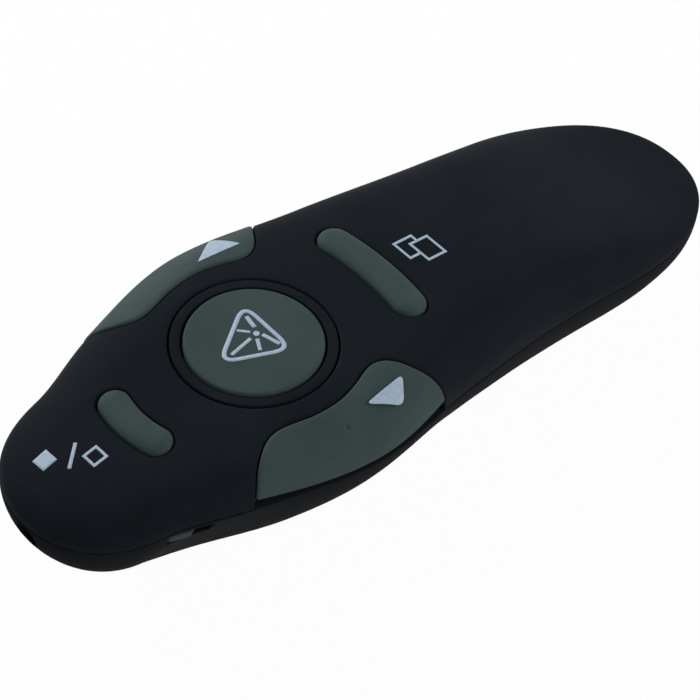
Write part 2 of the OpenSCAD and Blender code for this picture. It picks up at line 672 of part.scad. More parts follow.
// Conical coil spring: eight rings a turn on a helix that narrows towards the cell
function coil_point(x, d, way, i) =
    let (t = i / (8 * spring_turns), r = mix(3, 2, t), a = 45 * i)
    [x + r * cos(a), d - body_l / 2 + way * (spring_wire / 2 + t * (spring_l - spring_wire)),
        cell_z + r * sin(a)];
function coil(x, d, way) = [for (i = [0:8 * spring_turns]) coil_point(x, d, way, i)];
function coil_gap(p) =
    min([for (i = [0:len(p) - 1], j = [i + 5:1:len(p) - 1]) norm(p[i] - p[j])]) - spring_wire;
echo(slot_turn = slot_turn, slot_z = slot_z, port_z = port_z);
echo(spring_least_gap = coil_gap(coil(0, 0, 1)));
module minus_spring() {
    color([0.8, 0.8, 0.82])
        tube(coil(-cell_x, bay_front + contact_at + contact_t + 0.03, 1), spring_wire / 2, 6);
}
module bridge_spring() {
    color([0.8, 0.8, 0.82])
        tube(coil(cell_x, bay_rear - contact_at - contact_t - 0.03, -1), spring_wire / 2, 6);
}
plate_half = 3.2;
module contact_plate(x, tab) {
    at(x - plate_half, bay_front + contact_at, cell_z - plate_half)
        cube([2 * plate_half, contact_t, 2 * plate_half]);
    at(tab - 0.7, bay_front + contact_at, cell_z) cube([1.4, contact_t, board_z - cell_z]);
}
module minus_contact() { color([0.8, 0.8, 0.8]) contact_plate(-cell_x, -5.4); }
module plus_contact() { color([0.8, 0.8, 0.8]) contact_plate(cell_x, 5.4); }
module bridge_contact() {
    color([0.8, 0.8, 0.8])
        at(-cell_x - plate_half, bay_rear - contact_at - contact_t, cell_z - plate_half)
            cube([2 * (cell_x + plate_half), contact_t, 2 * plate_half]);
}

module receiver_housing() {
    color([0.1, 0.11, 0.12]) difference() {
        intersection() {
            belly_solid(0);
            receiver_box(0, receiver_front, 30);
        }
        at(-plug_w / 2 - 0.05, receiver_front - 1, receiver_z + (receiver_t - plug_h) / 2 - 0.05)
            cube([plug_w + 0.1, 4, plug_h + 0.1]);
    }
}
module receiver_plug() {
    color([0.75, 0.76, 0.78]) difference() {
        at(-plug_w / 2, receiver_front - plug_l + 2.5, receiver_z + (receiver_t - plug_h) / 2)
            cube([plug_w, plug_l, plug_h]);
        at(-plug_w / 2 + plug_wall, receiver_front - plug_l, receiver_z + (receiver_t - plug_h) / 2 + plug_wall)
            cube([plug_w - 2 * plug_wall, plug_l + 2, plug_h - 2 * plug_wall]);
        for (x = [-3.6, 1.4])
            at(x, receiver_front - plug_l + 7, receiver_z) cube([2.2, 2.2, receiver_t]);
    }
}
module receiver_tongue() {
    color([0.9, 0.9, 0.88])
        at(-plug_w / 2 + plug_wall + 0.1, receiver_front - plug_l + 3, receiver_z + receiver_t / 2 - 0.1)
            cube([plug_w - 2 * plug_wall - 0.2, plug_l - 1, 1.7]);
}

module screw(p, z, l) {
    difference() {
        union() {
            rod(p, z, head_d, head_h);
            rod(p, z + head_h, screw_d, l);
        }
        at(p[0] - 1.1, p[1] - 0.25, z - 1) cube([2.2, 0.5, 1.8]);
        at(p[0] - 0.25, p[1] - 1.1, z - 1) cube([0.5, 2.2, 1.8]);
    }
}
module case_screws() {
    color([0.55, 0.56, 0.58]) {
        screw(nose_screw, nose_head_z - head_h, board_top + 1.4 - nose_head_z);
        for (p = tail_screws) screw(p, tail_head_z - head_h, tail_split_z + 2.8 - tail_head_z);
    }
}

upper_shell();
lower_shell();
battery_door();
trim_ring();
laser_key();
page_key_right();
page_key_left();
rear_bar_key();
front_bar_key();
laser_plunger();
right_plunger();
left_plunger();
rear_plunger();
front_plunger();
power_knob();
power_lever();
power_switch();
laser_barrel();
laser_lens();
laser_board();
laser_leads();
main_board();
tact_switches();
radio_chip();
controller_chip();
crystal();
board_capacitors();
board_resistors();
antenna();
cell_left();
cell_right();
minus_spring();
bridge_spring();
minus_contact();
plus_contact();
bridge_contact();
receiver_housing();
receiver_plug();
receiver_tongue();
case_screws();
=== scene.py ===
# %% [markdown]
# # Wireless presentation clicker
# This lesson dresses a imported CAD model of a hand-held presentation clicker: a black two-shell
# body with a round laser key, two page keys on its shoulders, two curved bar keys and a power
# slide in its side. The CAD model gives the frame, and every piece below is computed in
# millimetres in that frame: nose at -Y, tail at +Y, table at z = 0.

# %% Load the frame
import math

import bmesh
import bpy
import numpy as np
from mathutils import Matrix, Vector
from mathutils.geometry import delaunay_2d_cdt


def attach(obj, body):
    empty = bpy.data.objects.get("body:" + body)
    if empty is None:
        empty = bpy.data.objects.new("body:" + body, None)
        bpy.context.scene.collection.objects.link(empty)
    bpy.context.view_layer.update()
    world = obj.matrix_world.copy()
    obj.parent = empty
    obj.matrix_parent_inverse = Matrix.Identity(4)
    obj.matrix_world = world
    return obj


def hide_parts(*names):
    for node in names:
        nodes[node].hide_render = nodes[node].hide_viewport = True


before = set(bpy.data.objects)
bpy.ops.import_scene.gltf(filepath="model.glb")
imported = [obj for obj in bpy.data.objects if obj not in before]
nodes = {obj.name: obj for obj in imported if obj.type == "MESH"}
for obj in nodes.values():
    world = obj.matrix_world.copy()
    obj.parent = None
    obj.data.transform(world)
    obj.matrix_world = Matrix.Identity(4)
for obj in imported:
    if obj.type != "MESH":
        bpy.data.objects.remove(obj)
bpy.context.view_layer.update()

# %% [markdown]
# ## The camera
# The photograph looks down on the nose from the front right. The camera's angles, its distance
# and its long lens were solved from the silhouette and the keys, so it is placed by a direction
# and a distance from the round key and then aimed at the picture's middle.

# %% Camera
AZIMUTH, ELEVATION, ROLL = math.radians(43.84), math.radians(45.51), math.radians(6.33)
FOCAL_PX, IMAGE_PX, SENSOR_MM = 3926.0, 700.0, 36.0
KEY_PIXEL = (253.9, 342.6)
KEY_TOP = Vector((0.0, -0.0188, 0.0256))
DISTANCE = 0.4454


def aimed_camera():
    """Back vector (sin a cos e, -cos a cos e, sin e); right and up are turned by the roll, and
    the forward axis is tipped so that the round key's centre falls on its pixel."""
    back = Vector((math.sin(AZIMUTH) * math.cos(ELEVATION),
                   -math.cos(AZIMUTH) * math.cos(ELEVATION), math.sin(ELEVATION)))
    ahead = -back
    right = ahead.cross(Vector((0, 0, 1))).normalized()
    up = right.cross(ahead)
    right2 = math.cos(ROLL) * right + math.sin(ROLL) * up
    up2 = -math.sin(ROLL) * right + math.cos(ROLL) * up
    dx = (IMAGE_PX / 2 - KEY_PIXEL[0]) / FOCAL_PX
    dy = (KEY_PIXEL[1] - IMAGE_PX / 2) / FOCAL_PX
    forward = (ahead + dx * right2 + dy * up2).normalized()
    side = forward.cross(up2).normalized()
    top = side.cross(forward)
    turn = Matrix((side, top, -forward)).transposed().to_4x4()
    cam = bpy.data.objects.new("camera", bpy.data.cameras.new("camera"))
    cam.matrix_world = Matrix.Translation(KEY_TOP + DISTANCE * back) @ turn
    cam.data.sensor_width = SENSOR_MM
    cam.data.lens = FOCAL_PX / IMAGE_PX * SENSOR_MM
    cam.data.clip_start = 0.01
    bpy.context.scene.collection.objects.link(cam)
    bpy.context.scene.camera = cam
    return cam


camera = aimed_camera()
print("lens", round(camera.data.lens, 1), "mm")

# %% [markdown]
# ## Colours and node trees
# Colours are written as sRGB hex values, as a paint chart gives them, and one function turns
# them to linear light. A second small function adds a shader node with its settings and links,
# and the others add what most materials share, so that each one below reads as a short recipe.

# %% Colour and node helpers
def linear(hex_code):
    """sRGB to linear: c / 12.92 below 0.04045, else ((c + 0.055) / 1.055) ** 2.4."""
    c = np.array([int(hex_code[i:i + 2], 16) for i in (1, 3, 5)]) / 255
    out = np.where(c <= 0.04045, c / 12.92, ((c + 0.055) / 1.055) ** 2.4)
    return (*[float(v) for v in out], 1.0)


def add_node(tree, kind, settings=None, links=None):
    """Adds one node: settings go to its properties or input values, links join its inputs."""
    node = tree.nodes.new(kind)
    for key, value in (settings or {}).items():
        if isinstance(key, str) and hasattr(node, key):
            setattr(node, key, value)
        else:
            node.inputs[key].default_value = value
    for key, source in (links or {}).items():
        tree.links.new(source, node.inputs[key])
    return node


def new_material(name):
    """An empty node material and its tree."""
    material = bpy.data.materials.new(name)
    material.use_nodes = True
    material.node_tree.nodes.clear()
    return material, material.node_tree


def finished(material, shade):
    """The material, with this shader as its surface."""
    add_node(material.node_tree, "ShaderNodeOutputMaterial", None, {"Surface": shade.outputs[0]})
    return material


def noise(tree, size_mm, detail=2.0, place=None):
    """Noise in patches of about a given size, fixed to the object."""
    if place is None:
        place = add_node(tree, "ShaderNodeTexCoord").outputs["Object"]
    return add_node(tree, "ShaderNodeTexNoise", {"Scale": 1000 / size_mm, "Detail": detail},
                    {"Vector": place}).outputs["Fac"]


def tones(tree, factor, dark, light, start, end):
    """A ramp from a dark to a light colour between two values of the factor."""
    ramp = add_node(tree, "ShaderNodeValToRGB", None, {"Fac": factor})
    for stop, position, colour in zip(ramp.color_ramp.elements, (start, end), (dark, light)):
        stop.position, stop.color = position, linear(colour)
    return ramp.outputs["Color"]


def spread(tree, factor, low, high):
    """The factor's range 0 to 1 carried to another range."""
    return add_node(tree, "ShaderNodeMapRange", {"To Min": low, "To Max": high},
                    {"Value": factor}).outputs[0]


def relief(tree, height, strength, depth_mm=0.01):
    """A bump of a given depth."""
    return add_node(tree, "ShaderNodeBump", {"Strength": strength, "Distance": depth_mm / 1000},
                    {"Height": height}).outputs["Normal"]


# %% [markdown]
# ## Soft-touch black shells
# The real shells are moulded ABS with a sprayed soft-touch rubber coat: near black with a faint
# blue cast, very low gloss, and a fine grain of paint. A Principled shader with a weak specular
# level gives the flat black, a noise with 0.25 mm grains gives the paint's tooth, and a slow
# noise of 12 mm changes the tone a little as handling does.

# %% Plastics
DRIFT_MM = 12.0


def moulded_plastic(name, dark, light, roughness, specular, grain_mm, tooth):
    """Colour drifts from dark to light by a slow noise; a fine noise bumps and speckles it."""
    material, tree = new_material(name)
    slow, fine = noise(tree, DRIFT_MM), noise(tree, grain_mm, 3.0)
    blend = add_node(tree, "ShaderNodeMath", {"operation": "MULTIPLY_ADD", 1: 0.35},
                     {0: fine, 2: slow})
    return finished(material, add_node(
        tree, "ShaderNodeBsdfPrincipled", {"Specular IOR Level": specular, "IOR": 1.5},
        {"Base Color": tones(tree, blend.outputs[0], dark, light, 0.45, 0.9),
         "Roughness": spread(tree, slow, roughness - 0.05, roughness + 0.05),
         "Normal": relief(tree, fine, tooth, 0.02)}))


soft_touch_black = moulded_plastic("soft_touch_coated_abs", "#12171b", "#191e24", 0.6, 0.02,
                                   0.25, 0.5)
lower_black = moulded_plastic("moulded_abs_lower", "#191a1c", "#1f2022", 0.75, 0.005, 0.3, 0.5)
trim_black = moulded_plastic("moulded_abs_trim", "#12171b", "#191e24", 0.6, 0.02, 0.3, 0.3)
key_rubber = moulded_plastic("silicone_rubber_keys", "#334040", "#3c4949", 0.6, 0.06, 0.35, 0.6)
knob_plastic = moulded_plastic("moulded_abs_knob", "#293435", "#303b3c", 0.6, 0.02, 0.3, 0.3)
nylon = moulded_plastic("natural_nylon", "#cfcdc2", "#dcdad0", 0.5, 0.4, 0.4, 0.2)
red_nylon = moulded_plastic("red_nylon", "#a02c24", "#b43a30", 0.45, 0.4, 0.4, 0.2)
epoxy_black = moulded_plastic("moulded_epoxy", "#15161a", "#1f2024", 0.5, 0.4, 0.2, 0.4)
print("plastics ready")

# %% [markdown]
# ## Metals, board and prints
# Inside are plated spring steel, brass, a fibreglass board with green solder mask and two
# sleeved cells. The icons are a pad print: a thin, slightly uneven film of pale ink.

# %% Metals, mask, sleeve and ink
def worked_metal(name, colour, roughness, streak_mm):
    """A metal whose roughness and bump come from streaks stretched along Y."""
    material, tree = new_material(name)
    place = add_node(tree, "ShaderNodeTexCoord")
    stretch = add_node(tree, "ShaderNodeMapping", {"Scale": (1.0, 0.08, 1.0)},
                       {"Vector": place.outputs["Object"]})
    streak = noise(tree, streak_mm, 4.0, stretch.outputs["Vector"])
    return finished(material, add_node(
        tree, "ShaderNodeBsdfPrincipled", {"Base Color": linear(colour), "Metallic": 1.0},
        {"Roughness": spread(tree, streak, roughness - 0.08, roughness + 0.1),
         "Normal": relief(tree, streak, 0.2)}))


def film(name, dark, light, roughness, patch_mm, coat=0.0):
    """A smooth film whose tone wanders between two colours over patches of a given size."""
    material, tree = new_material(name)
    patch = noise(tree, patch_mm, 3.0)
    return finished(material, add_node(
        tree, "ShaderNodeBsdfPrincipled", {"Roughness": roughness, "Coat Weight": coat},
        {"Base Color": tones(tree, patch, dark, light, 0.35, 0.65),
         "Normal": relief(tree, patch, 0.2)}))


spring_steel = worked_metal("plated_spring_steel", "#c4c6c9", 0.3, 0.5)
screw_steel = worked_metal("black_oxide_steel", "#5c5e62", 0.4, 0.4)
turned_brass = worked_metal("turned_brass", "#c9a35a", 0.28, 0.3)
antenna_copper = worked_metal("bare_copper", "#c87f52", 0.35, 0.3)
solder_mask = film("green_solder_mask", "#0d4a26", "#125a30", 0.3, 1.5, 0.3)
shrink_sleeve = film("shrink_sleeve", "#b07a2a", "#bd8634", 0.25, 6.0, 0.3)
ceramic = film("fired_ceramic", "#9d8258", "#ab8f63", 0.6, 0.6)
wire_sleeve = film("pvc_insulation", "#8c1f1a", "#992722", 0.4, 1.0)
pad_print_ink = film("pad_print_ink", "#93a7b9", "#9eb2c3", 0.55, 0.5)


def clear_lens():
    """Polished acrylic: mostly clear, its gloss varied a little by a noise."""
    material, tree = new_material("polished_acrylic_lens")
    return finished(material, add_node(
        tree, "ShaderNodeBsdfPrincipled",
        {"Base Color": linear("#dfe8ee"), "Transmission Weight": 0.9, "IOR": 1.49},
        {"Roughness": spread(tree, noise(tree, 1.25), 0.02, 0.08)}))


lens_clear = clear_lens()
print("metals and films ready")

# %% [markdown]
# ## The body's form in numbers
# The shell is a lofted form. Its outline, parting line, crown and belly are curves along the
# body, each a function of the distance d from the nose. These are the same curves as in the CAD
# source, now evaluated on whole arrays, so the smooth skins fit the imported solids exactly.

# %% Curves along the body
LENGTH, KEY_AT, GAP = 104.0, 33.2, 0.2
MIDDLE, NOSE_END, TAIL_START = LENGTH / 2, 10.5, 81.0
CROWN_AT, CROWN_TOP, SEAM_TOP = 44.0, 26.0, 19.6
TOP_CLOSE, BELLY_CLOSE = 6.0, 14.0  # how far before the tail each loft's rings close
STATIONS = np.array([[0, 11.7], [10.5, 11.7], [21, 15.2], [36, 18.5], [52.5, 16.2],
                     [70, 14.4], [104, 14.2]])


def through(stations, d):
    """Cubic Hermite curve through the stations, with slopes taken across each one's
    neighbours."""
    s = stations
    left = np.maximum(np.arange(len(s)) - 1, 0)
    right = np.minimum(np.arange(len(s)) + 1, len(s) - 1)
    slope = (s[right, 1] - s[left, 1]) / (s[right, 0] - s[left, 0])
    i = np.clip(np.searchsorted(s[:, 0], d, side="right") - 1, 0, len(s) - 2)
    w = s[i + 1, 0] - s[i, 0]
    t = (d - s[i, 0]) / w
    return (s[i, 1] * (2 * t**3 - 3 * t**2 + 1) + slope[i] * w * (t**3 - 2 * t**2 + t)
            + s[i + 1, 1] * (3 * t**2 - 2 * t**3) + slope[i + 1] * w * (t**3 - t**2))


def half_width(d):
    """Outline's half width: the curve times a circular nose and a squarer tail."""
    d = np.asarray(d, float)
    nose = np.where(d < NOSE_END, np.sqrt(np.clip(1 - (1 - d / NOSE_END)**2, 0, 1)), 1.0)
    u = np.clip((d - TAIL_START) / (LENGTH - TAIL_START), 0, 1)
    tail = np.clip(1 - u**2.2, 0, 1)**(1 / 2.2)
    return through(STATIONS, d) * nose * tail


def seam_height(d):
    """Parting line: drops by a square towards the nose and by a 1.4 power to the tail."""
    d = np.asarray(d, float)
    front = SEAM_TOP - 2.1 * np.clip(1 - d / KEY_AT, 0, None)**2
    rear = SEAM_TOP - 4.4 * (np.clip(d - KEY_AT, 0, None) / (LENGTH - KEY_AT))**1.4
    return np.where(d < KEY_AT, front, rear)


def rise(d):
    """Height of the crown over the parting line, eased so that it never reaches zero."""
    front = CROWN_TOP - 5.8 * np.clip(1 - d / CROWN_AT, 0, None)**2
    rear = CROWN_TOP - 15.4 * (np.clip(d - CROWN_AT, 0, None) / (LENGTH - CROWN_AT))**2.4
    h = np.where(d < CROWN_AT, front, rear) - seam_height(d)
    return (h + np.sqrt(h * h + 5)) / 2


LOW = np.array([[0, 4.5], [9, 1.4], [18, -2.1], [30, -2.7], [60, -3.2], [84, -1.7], [104, 3]])
FULL = np.array([[0, 1.84], [9, 1.37], [18, 1.08], [30, 1.3], [60, 1.33], [90, 1.55], [104, 2.46]])


def belly_height(rho, d, offset=0.0):
    """Belly skin: seam - depth * (1 - rho ** e) ** (1 / e), pressed flat at the table, where
    the depth and the fullness e run along the body."""
    e = through(FULL, d)
    depth = seam_height(d) - GAP - through(LOW, d) - offset
    z = seam_height(d) - GAP - depth * (1 - np.clip(rho, 0, 1)**e)**(1 / e)
    return np.maximum(z, offset)


def unit(v):
    """The vectors along the last axis, at length 1."""
    return v / np.linalg.norm(v, axis=-1, keepdims=True)


def softplus(x, k):
    """k ln(1 + exp(x / k)), a ramp with a rounded corner."""
    return k * np.logaddexp(0, x / k)


def spine(d, tail_round):
    """The middle line on which the loft's rings close, kept inside the two rounded ends."""
    s = 17.8 + softplus(d - 17.8, 3.5)
    return LENGTH - tail_round - softplus(LENGTH - tail_round - s, tail_round / 4)


def ring_of(x, d, tail_round=TOP_CLOSE, offset=0.0):
    """How far out (x, d) lies, 0 on the spine and 1 on the rim. The ring through it meets the
    rim at distance t, found by halving: spine(t) + |x| / w(t) * (t - spine(t)) = d."""
    x = np.maximum(np.abs(x), 0.01)
    low, high = np.zeros_like(x), np.full_like(x, LENGTH)
    for _ in range(46):
        t = (low + high) / 2
        s = spine(t, tail_round)
        over = s + x / np.maximum(half_width(t) - offset, 1e-9) * (t - s) > d
        high, low = np.where(over, t, high), np.where(over, low, t)
    return x / np.maximum(half_width(high) - offset, 1e-9)


def shell_top(x, d):
    """Top skin: seam + rise * (1 - rho ** 5) ** (1 / 2.37)."""
    rho = np.clip(ring_of(x, d), 0, 1)
    return seam_height(d) + rise(d) * (1 - rho**5)**(1 / 2.37)


def under(x, d, offset=0.0):
    """Height of the belly's skin, or of the inner skin an offset in, under (x, d)."""
    x, d = np.broadcast_arrays(np.asarray(x, float), np.asarray(d, float))
    return belly_height(ring_of(x, d, BELLY_CLOSE, offset), d, offset)


def shell_normal(x, d, step=0.03):
    """Unit normal of the top skin from central differences of its height."""
    gx = (shell_top(np.abs(x) + step, d) - shell_top(np.abs(x) - step, d)) / (2 * step)
    gd = (shell_top(x, d + step) - shell_top(x, d - step)) / (2 * step)
    return unit(np.stack([-gx * np.where(x < 0, -1, 1), -gd, np.ones_like(gx)], -1))


print("height over the round key:", float(shell_top(np.array([0.0]), np.array([KEY_AT]))[0]))

# %% [markdown]
# ## From arrays to pieces
# One function turns an array of points and an array of faces into a mesh. Another puts that
# mesh on its CAD body, hides the CAD nodes it stands for and gives it its finish. Sharp corners
# are marked by their angle, so that fillets stay smooth and cut edges stay crisp.

# %% Mesh helpers
def outward_mesh(name, points, faces, weld=True):
    """Points in millimetres (x, distance from the nose, z) become metres in the CAD frame, and
    the faces are turned outward."""
    p = np.asarray(points, float).reshape(-1, 3).copy()
    p[:, 1] -= LENGTH / 2
    mesh = bpy.data.meshes.new(name)
    mesh.from_pydata((p * 0.001).tolist(), [], [list(map(int, f)) for f in faces])
    bm = bmesh.new()
    bm.from_mesh(mesh)
    if weld:
        bmesh.ops.remove_doubles(bm, verts=bm.verts, dist=1e-6)
        bmesh.ops.dissolve_degenerate(bm, edges=bm.edges, dist=1e-7)
    bmesh.ops.recalc_face_normals(bm, faces=bm.faces)
    bm.to_mesh(mesh)
    bm.free()
    return mesh


def piece(name, points, faces, body, material, slot, stands_for=(), sharp=40.0):
    """A mesh with its finish, on its body, that may stand for CAD nodes."""
    mesh = outward_mesh(name, points, faces)
    mesh.polygons.foreach_set("use_smooth", np.ones(len(mesh.polygons), bool))
    mesh.set_sharp_from_angle(angle=math.radians(sharp))
    mesh.materials.append(material)
    obj = bpy.data.objects.new(name, mesh)
    bpy.context.scene.collection.objects.link(obj)
    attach(obj, body)
    if stands_for:
        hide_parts(*stands_for)
    print(name, len(mesh.polygons), "faces")
    return obj


def grid_faces(rows, columns, wrap=False):
    """Quads of a grid of points, rows by columns, closed round the columns if wrap."""
    r, c = np.meshgrid(np.arange(rows - 1), np.arange(columns - (0 if wrap else 1)),
                       indexing="ij")
    n = (c + 1) % columns
    return np.stack([r * columns + c, r * columns + n, (r + 1) * columns + n,
                     (r + 1) * columns + c], -1).reshape(-1, 4)


def inside(outline, x, y):
    """True where (x, y) lies inside the closed outline, by counting edges crossed."""
    a, b = outline, np.roll(outline, -1, 0)
    cross = (a[:, 1] > y[:, None]) != (b[:, 1] > y[:, None])
    span = np.where(b[:, 1] == a[:, 1], 1e-12, b[:, 1] - a[:, 1])
    at = a[:, 0] + (y[:, None] - a[:, 1]) * (b[:, 0] - a[:, 0]) / span
    return (cross & (x[:, None] < at)).sum(1) % 2 == 1


def distance_to(line, x, y, closed=True):
    """Least distance from each (x, y) to a polyline."""
    a = line if closed else line[:-1]
    b = np.roll(line, -1, 0) if closed else line[1:]
    p = np.stack([x, y], -1)[:, None]
    t = np.clip(((p - a) * (b - a)).sum(-1) / np.maximum(((b - a)**2).sum(-1), 1e-12), 0, 1)
    return np.linalg.norm(p - a - t[..., None] * (b - a), axis=-1).min(1)


def edge_drop(distance, reach, depth=None):
    """A quarter ellipse: depth * (1 - sqrt(1 - u ** 2)) with u = 1 - distance / reach. Without
    a depth it is a quarter circle."""
    u = np.clip(1 - distance / reach, 0, 1)
    return (reach if depth is None else depth) * (1 - np.sqrt(1 - u**2))


def triangulate(lines, keep, loose=()):
    """Constrained triangles over a plan: every line's edges are kept, and of the triangles
    only those whose middle passes keep(x, y)."""
    points, edges = [], []
    for line, closed in lines:
        first, n = len(points), len(line)
        points += [Vector(p) for p in line.tolist()]
        edges += [(first + i, first + (i + 1) % n) for i in range(n if closed else n - 1)]
    points += [Vector(p) for p in np.asarray(loose, float).reshape(-1, 2).tolist()]
    found = delaunay_2d_cdt(points, edges, [], 0, 1e-5)
    plan = np.array([tuple(v) for v in found[0]])
    tris = np.array([f for f in found[2] if len(f) == 3])
    middle = plan[tris].mean(1)
    tris = tris[keep(middle[:, 0], middle[:, 1])]
    used, tris = np.unique(tris, return_inverse=True)
    return plan[used], tris.reshape(-1, 3)


def open_edges(tris):
    """Edges that belong to one triangle only, in that triangle's direction."""
    e = np.concatenate([tris[:, [0, 1]], tris[:, [1, 2]], tris[:, [2, 0]]])
    key = np.sort(e, 1)
    _, first, count = np.unique(key, axis=0, return_index=True, return_counts=True)
    return e[first[count == 1]]


def wall_faces(edge, n):
    """Quads from each open edge down to its copy n points further on."""
    return np.stack([edge[:, 1], edge[:, 0], edge[:, 0] + n, edge[:, 1] + n], -1)


# %% [markdown]
# ## Key outlines
# The round key is a circle. The two bars are thick arcs: a parabola with a half circle at each
# end. A page key runs round the trim ring on an arc, turns through two soft corners and ends
# at the rim. Each outline takes a growth, so that the key, its gap and its rounded edges are
# true parallels of one another.

# %% Outlines
def around(n):
    """Points at n equal angles round a circle of radius 1."""
    a = np.linspace(0, 2 * np.pi, n, endpoint=False)
    return np.stack([np.cos(a), np.sin(a)], -1)


def circle(radius, n=160):
    """Points at equal angles round the round key."""
    return [0, KEY_AT] + radius * around(n)


def bow_bar(at, half, radius, bend, side=36, end=20):
    """The line (s, at - bend s^2 / 2) grown by a radius: two parallels and two half circles."""
    s = np.linspace(half, -half, side, endpoint=False)
    across = unit(np.stack([bend * s, np.ones_like(s)], -1))
    line = np.stack([s, at - bend * s * s / 2], -1)
    tilt = math.atan(bend * half)
    a = np.radians(90) - np.pi * np.arange(end) / end - tilt
    b = -np.radians(90) - np.pi * np.arange(end) / end + tilt
    tip = np.array([half, at - bend * half**2 / 2])
    first = tip + radius * np.stack([np.cos(a), np.sin(a)], -1)
    second = tip * [-1, 1] + radius * np.stack([np.cos(b), np.sin(b)], -1)
    back = line[::-1] + radius * across[::-1]
    return np.concatenate([first, line - radius * across, second, back])


def rear_bar(grow=0.0):
    return bow_bar(KEY_AT + 18.8, 8.4 - 2.15, 2.15 + grow, 0.028)


def front_bar(grow=0.0):
    return bow_bar(KEY_AT - 18.0, 5.45 - 1.9, 1.9 + grow, -0.07)


PAGE = np.array([[13.6, -11.2], [12.3, -9.5], [11.55, -7.9], [11.42, -6.3], [11.75, -4.6],
                 [12.35, -2.2], [12.6, 0.2], [12.5, 2.4], [11.95, 4.7], [11.15, 6.9], [10.9, 8.4],
                 [11.3, 9.8], [12.3, 11.0], [13.9, 12.25], [15.6, 13.7]]) + [0, KEY_AT]
PAGE_FRONT, PAGE_REAR = KEY_AT - 12.5, KEY_AT + 14.9


def smooth_line(p, steps=6):
    """Catmull-Rom curve: b + t (c - a) / 2 + t^2 (a - 2.5 b + 2 c - d / 2) + t^3 (...)."""
    q = np.concatenate([[2 * p[0] - p[1]], p, [2 * p[-1] - p[-2]]])
    a, b, c, d = q[:-3, None], q[1:-2, None], q[2:-1, None], q[3:, None]
    t = np.linspace(0, 1, steps, endpoint=False)[None, :, None]
    run = (b + t * (c - a) / 2 + t**2 * (a - 2.5 * b + 2 * c - d / 2)
           + t**3 * (1.5 * (b - c) + (d - a) / 2))
    return np.concatenate([run.reshape(-1, 2), p[-1:]])


def page_edge(grow=0.0):
    """The right page key's inner edge, run on straight past the rim and then moved along its
    own normals by the growth."""
    front = np.array([float(half_width(PAGE_FRONT)), PAGE_FRONT])
    rear = np.array([float(half_width(PAGE_REAR)), PAGE_REAR])
    line = smooth_line(np.concatenate([[front], PAGE, [rear]]))
    way = lambda v: 3.5 * v / np.linalg.norm(v)
    line = np.concatenate([[front + way(line[0] - line[1])], line,
                           [rear + way(line[-1] - line[-2])]])
    run = unit(np.concatenate([line[1:2] - line[:1], line[2:] - line[:-2],
                               line[-1:] - line[-2:-1]]))
    return line + grow * np.stack([-run[:, 1], run[:, 0]], -1)


def mirrored(line):
    """The same line on the body's other side."""
    return line * [-1, 1]


def rim_steps(n):
    """Distances along the body for one side of the rim, closer together at both ends."""
    return LENGTH * (1 - np.cos(np.pi * np.arange(n // 2 + 1) / (n // 2))) / 2


def rim_line(rho, n=420):
    """One ring of the loft in plan, at a share rho of the way from the spine to the rim. The
    share may be a function of the distance along the rim."""
    t = rim_steps(n)
    rho = rho(t) if callable(rho) else rho
    s = spine(t, TOP_CLOSE)
    right = np.stack([rho * half_width(t), s + rho * (t - s)], -1)
    return np.concatenate([right, mirrored(right[-2:0:-1])])


print("outlines:", len(rear_bar()), len(front_bar()), len(page_edge()), "points")

# %% [markdown]
# ## Upper shell
# The upper shell is one moulding with a round hole, two bar slots and two notches for the page
# keys. Cutting a mesh with booleans leaves ragged shading, so the plan is triangulated with the
# openings' own outlines as edges, and each point is then lifted to the skin's height. Points
# near an opening drop along a quarter round of 0.3 mm, as a moulded edge does.

# %% Upper shell
EDGE, WALL, HOLE_RADIUS, RIM_WALL = 0.3, 1.6, 9.85, 1.3
STEPS = np.array([0.0, 0.02, 0.06, 0.12, 0.2, 0.3])


def build_upper_shell():
    """Height field over the triangulated plan, with walls let down round the openings."""
    rings = [1, .99985, .9994, .9985, .997, .995, .992, .988, .982, .975, .965, .95, .93, .905,
             .875, .84, .8, .75, .7, .64, .58, .51, .44, .37, .3, .23, .16, .09, .03]
    lines = [(rim_line(r), True) for r in rings]
    shapes = [lambda g: circle(HOLE_RADIUS + g), lambda g: rear_bar(GAP + g),
              lambda g: front_bar(GAP + g)]
    for shape in shapes:
        lines += [(shape(g), True) for g in STEPS]
    for g in STEPS:
        lines += [(page_edge(GAP + g), False), (mirrored(page_edge(GAP + g)), False)]
    rim = rim_line(1)
    notch = page_edge(GAP)

    def keep(x, y):
        hole = np.zeros(len(x), bool)
        for shape in shapes:
            hole |= inside(shape(0), x, y)
        return inside(rim, x, y) & ~hole & ~inside(notch, np.abs(x), y)

    plan, tris = triangulate(lines, keep)
    x, y = plan.T
    z = shell_top(x, y)
    near = np.minimum.reduce([distance_to(shape(0), x, y) for shape in shapes]
                             + [distance_to(notch, np.abs(x), y, False)])
    top = np.stack([x, y, z - edge_drop(near, EDGE)], -1)
    edge = open_edges(tris)
    at_rim = (ring_of(x, y) > 0.9999)[edge].all(1) & (near[edge].min(1) > 1e-3)
    out = np.maximum(np.hypot(x, 0.3 * (y - MIDDLE)), 3)
    inward = np.stack([x * (1 - RIM_WALL / out), y - RIM_WALL * (y - MIDDLE) / MIDDLE, z], -1)
    deep = top - [0, 0, WALL]
    deep[:, 2] = np.maximum(deep[:, 2], seam_height(y) + 0.02)
    n = len(top)
    points = np.concatenate([top, deep, inward])
    walls = wall_faces(edge, n)
    walls[at_rim, 2] = edge[at_rim, 0] + 2 * n
    walls[at_rim, 3] = edge[at_rim, 1] + 2 * n
    faces = [*tris.tolist(), *walls.tolist()]
    return piece("upper_shell_skin", points, faces, "case", soft_touch_black, "shell",
                 ["upper_shell"], sharp=50)


build_upper_shell()

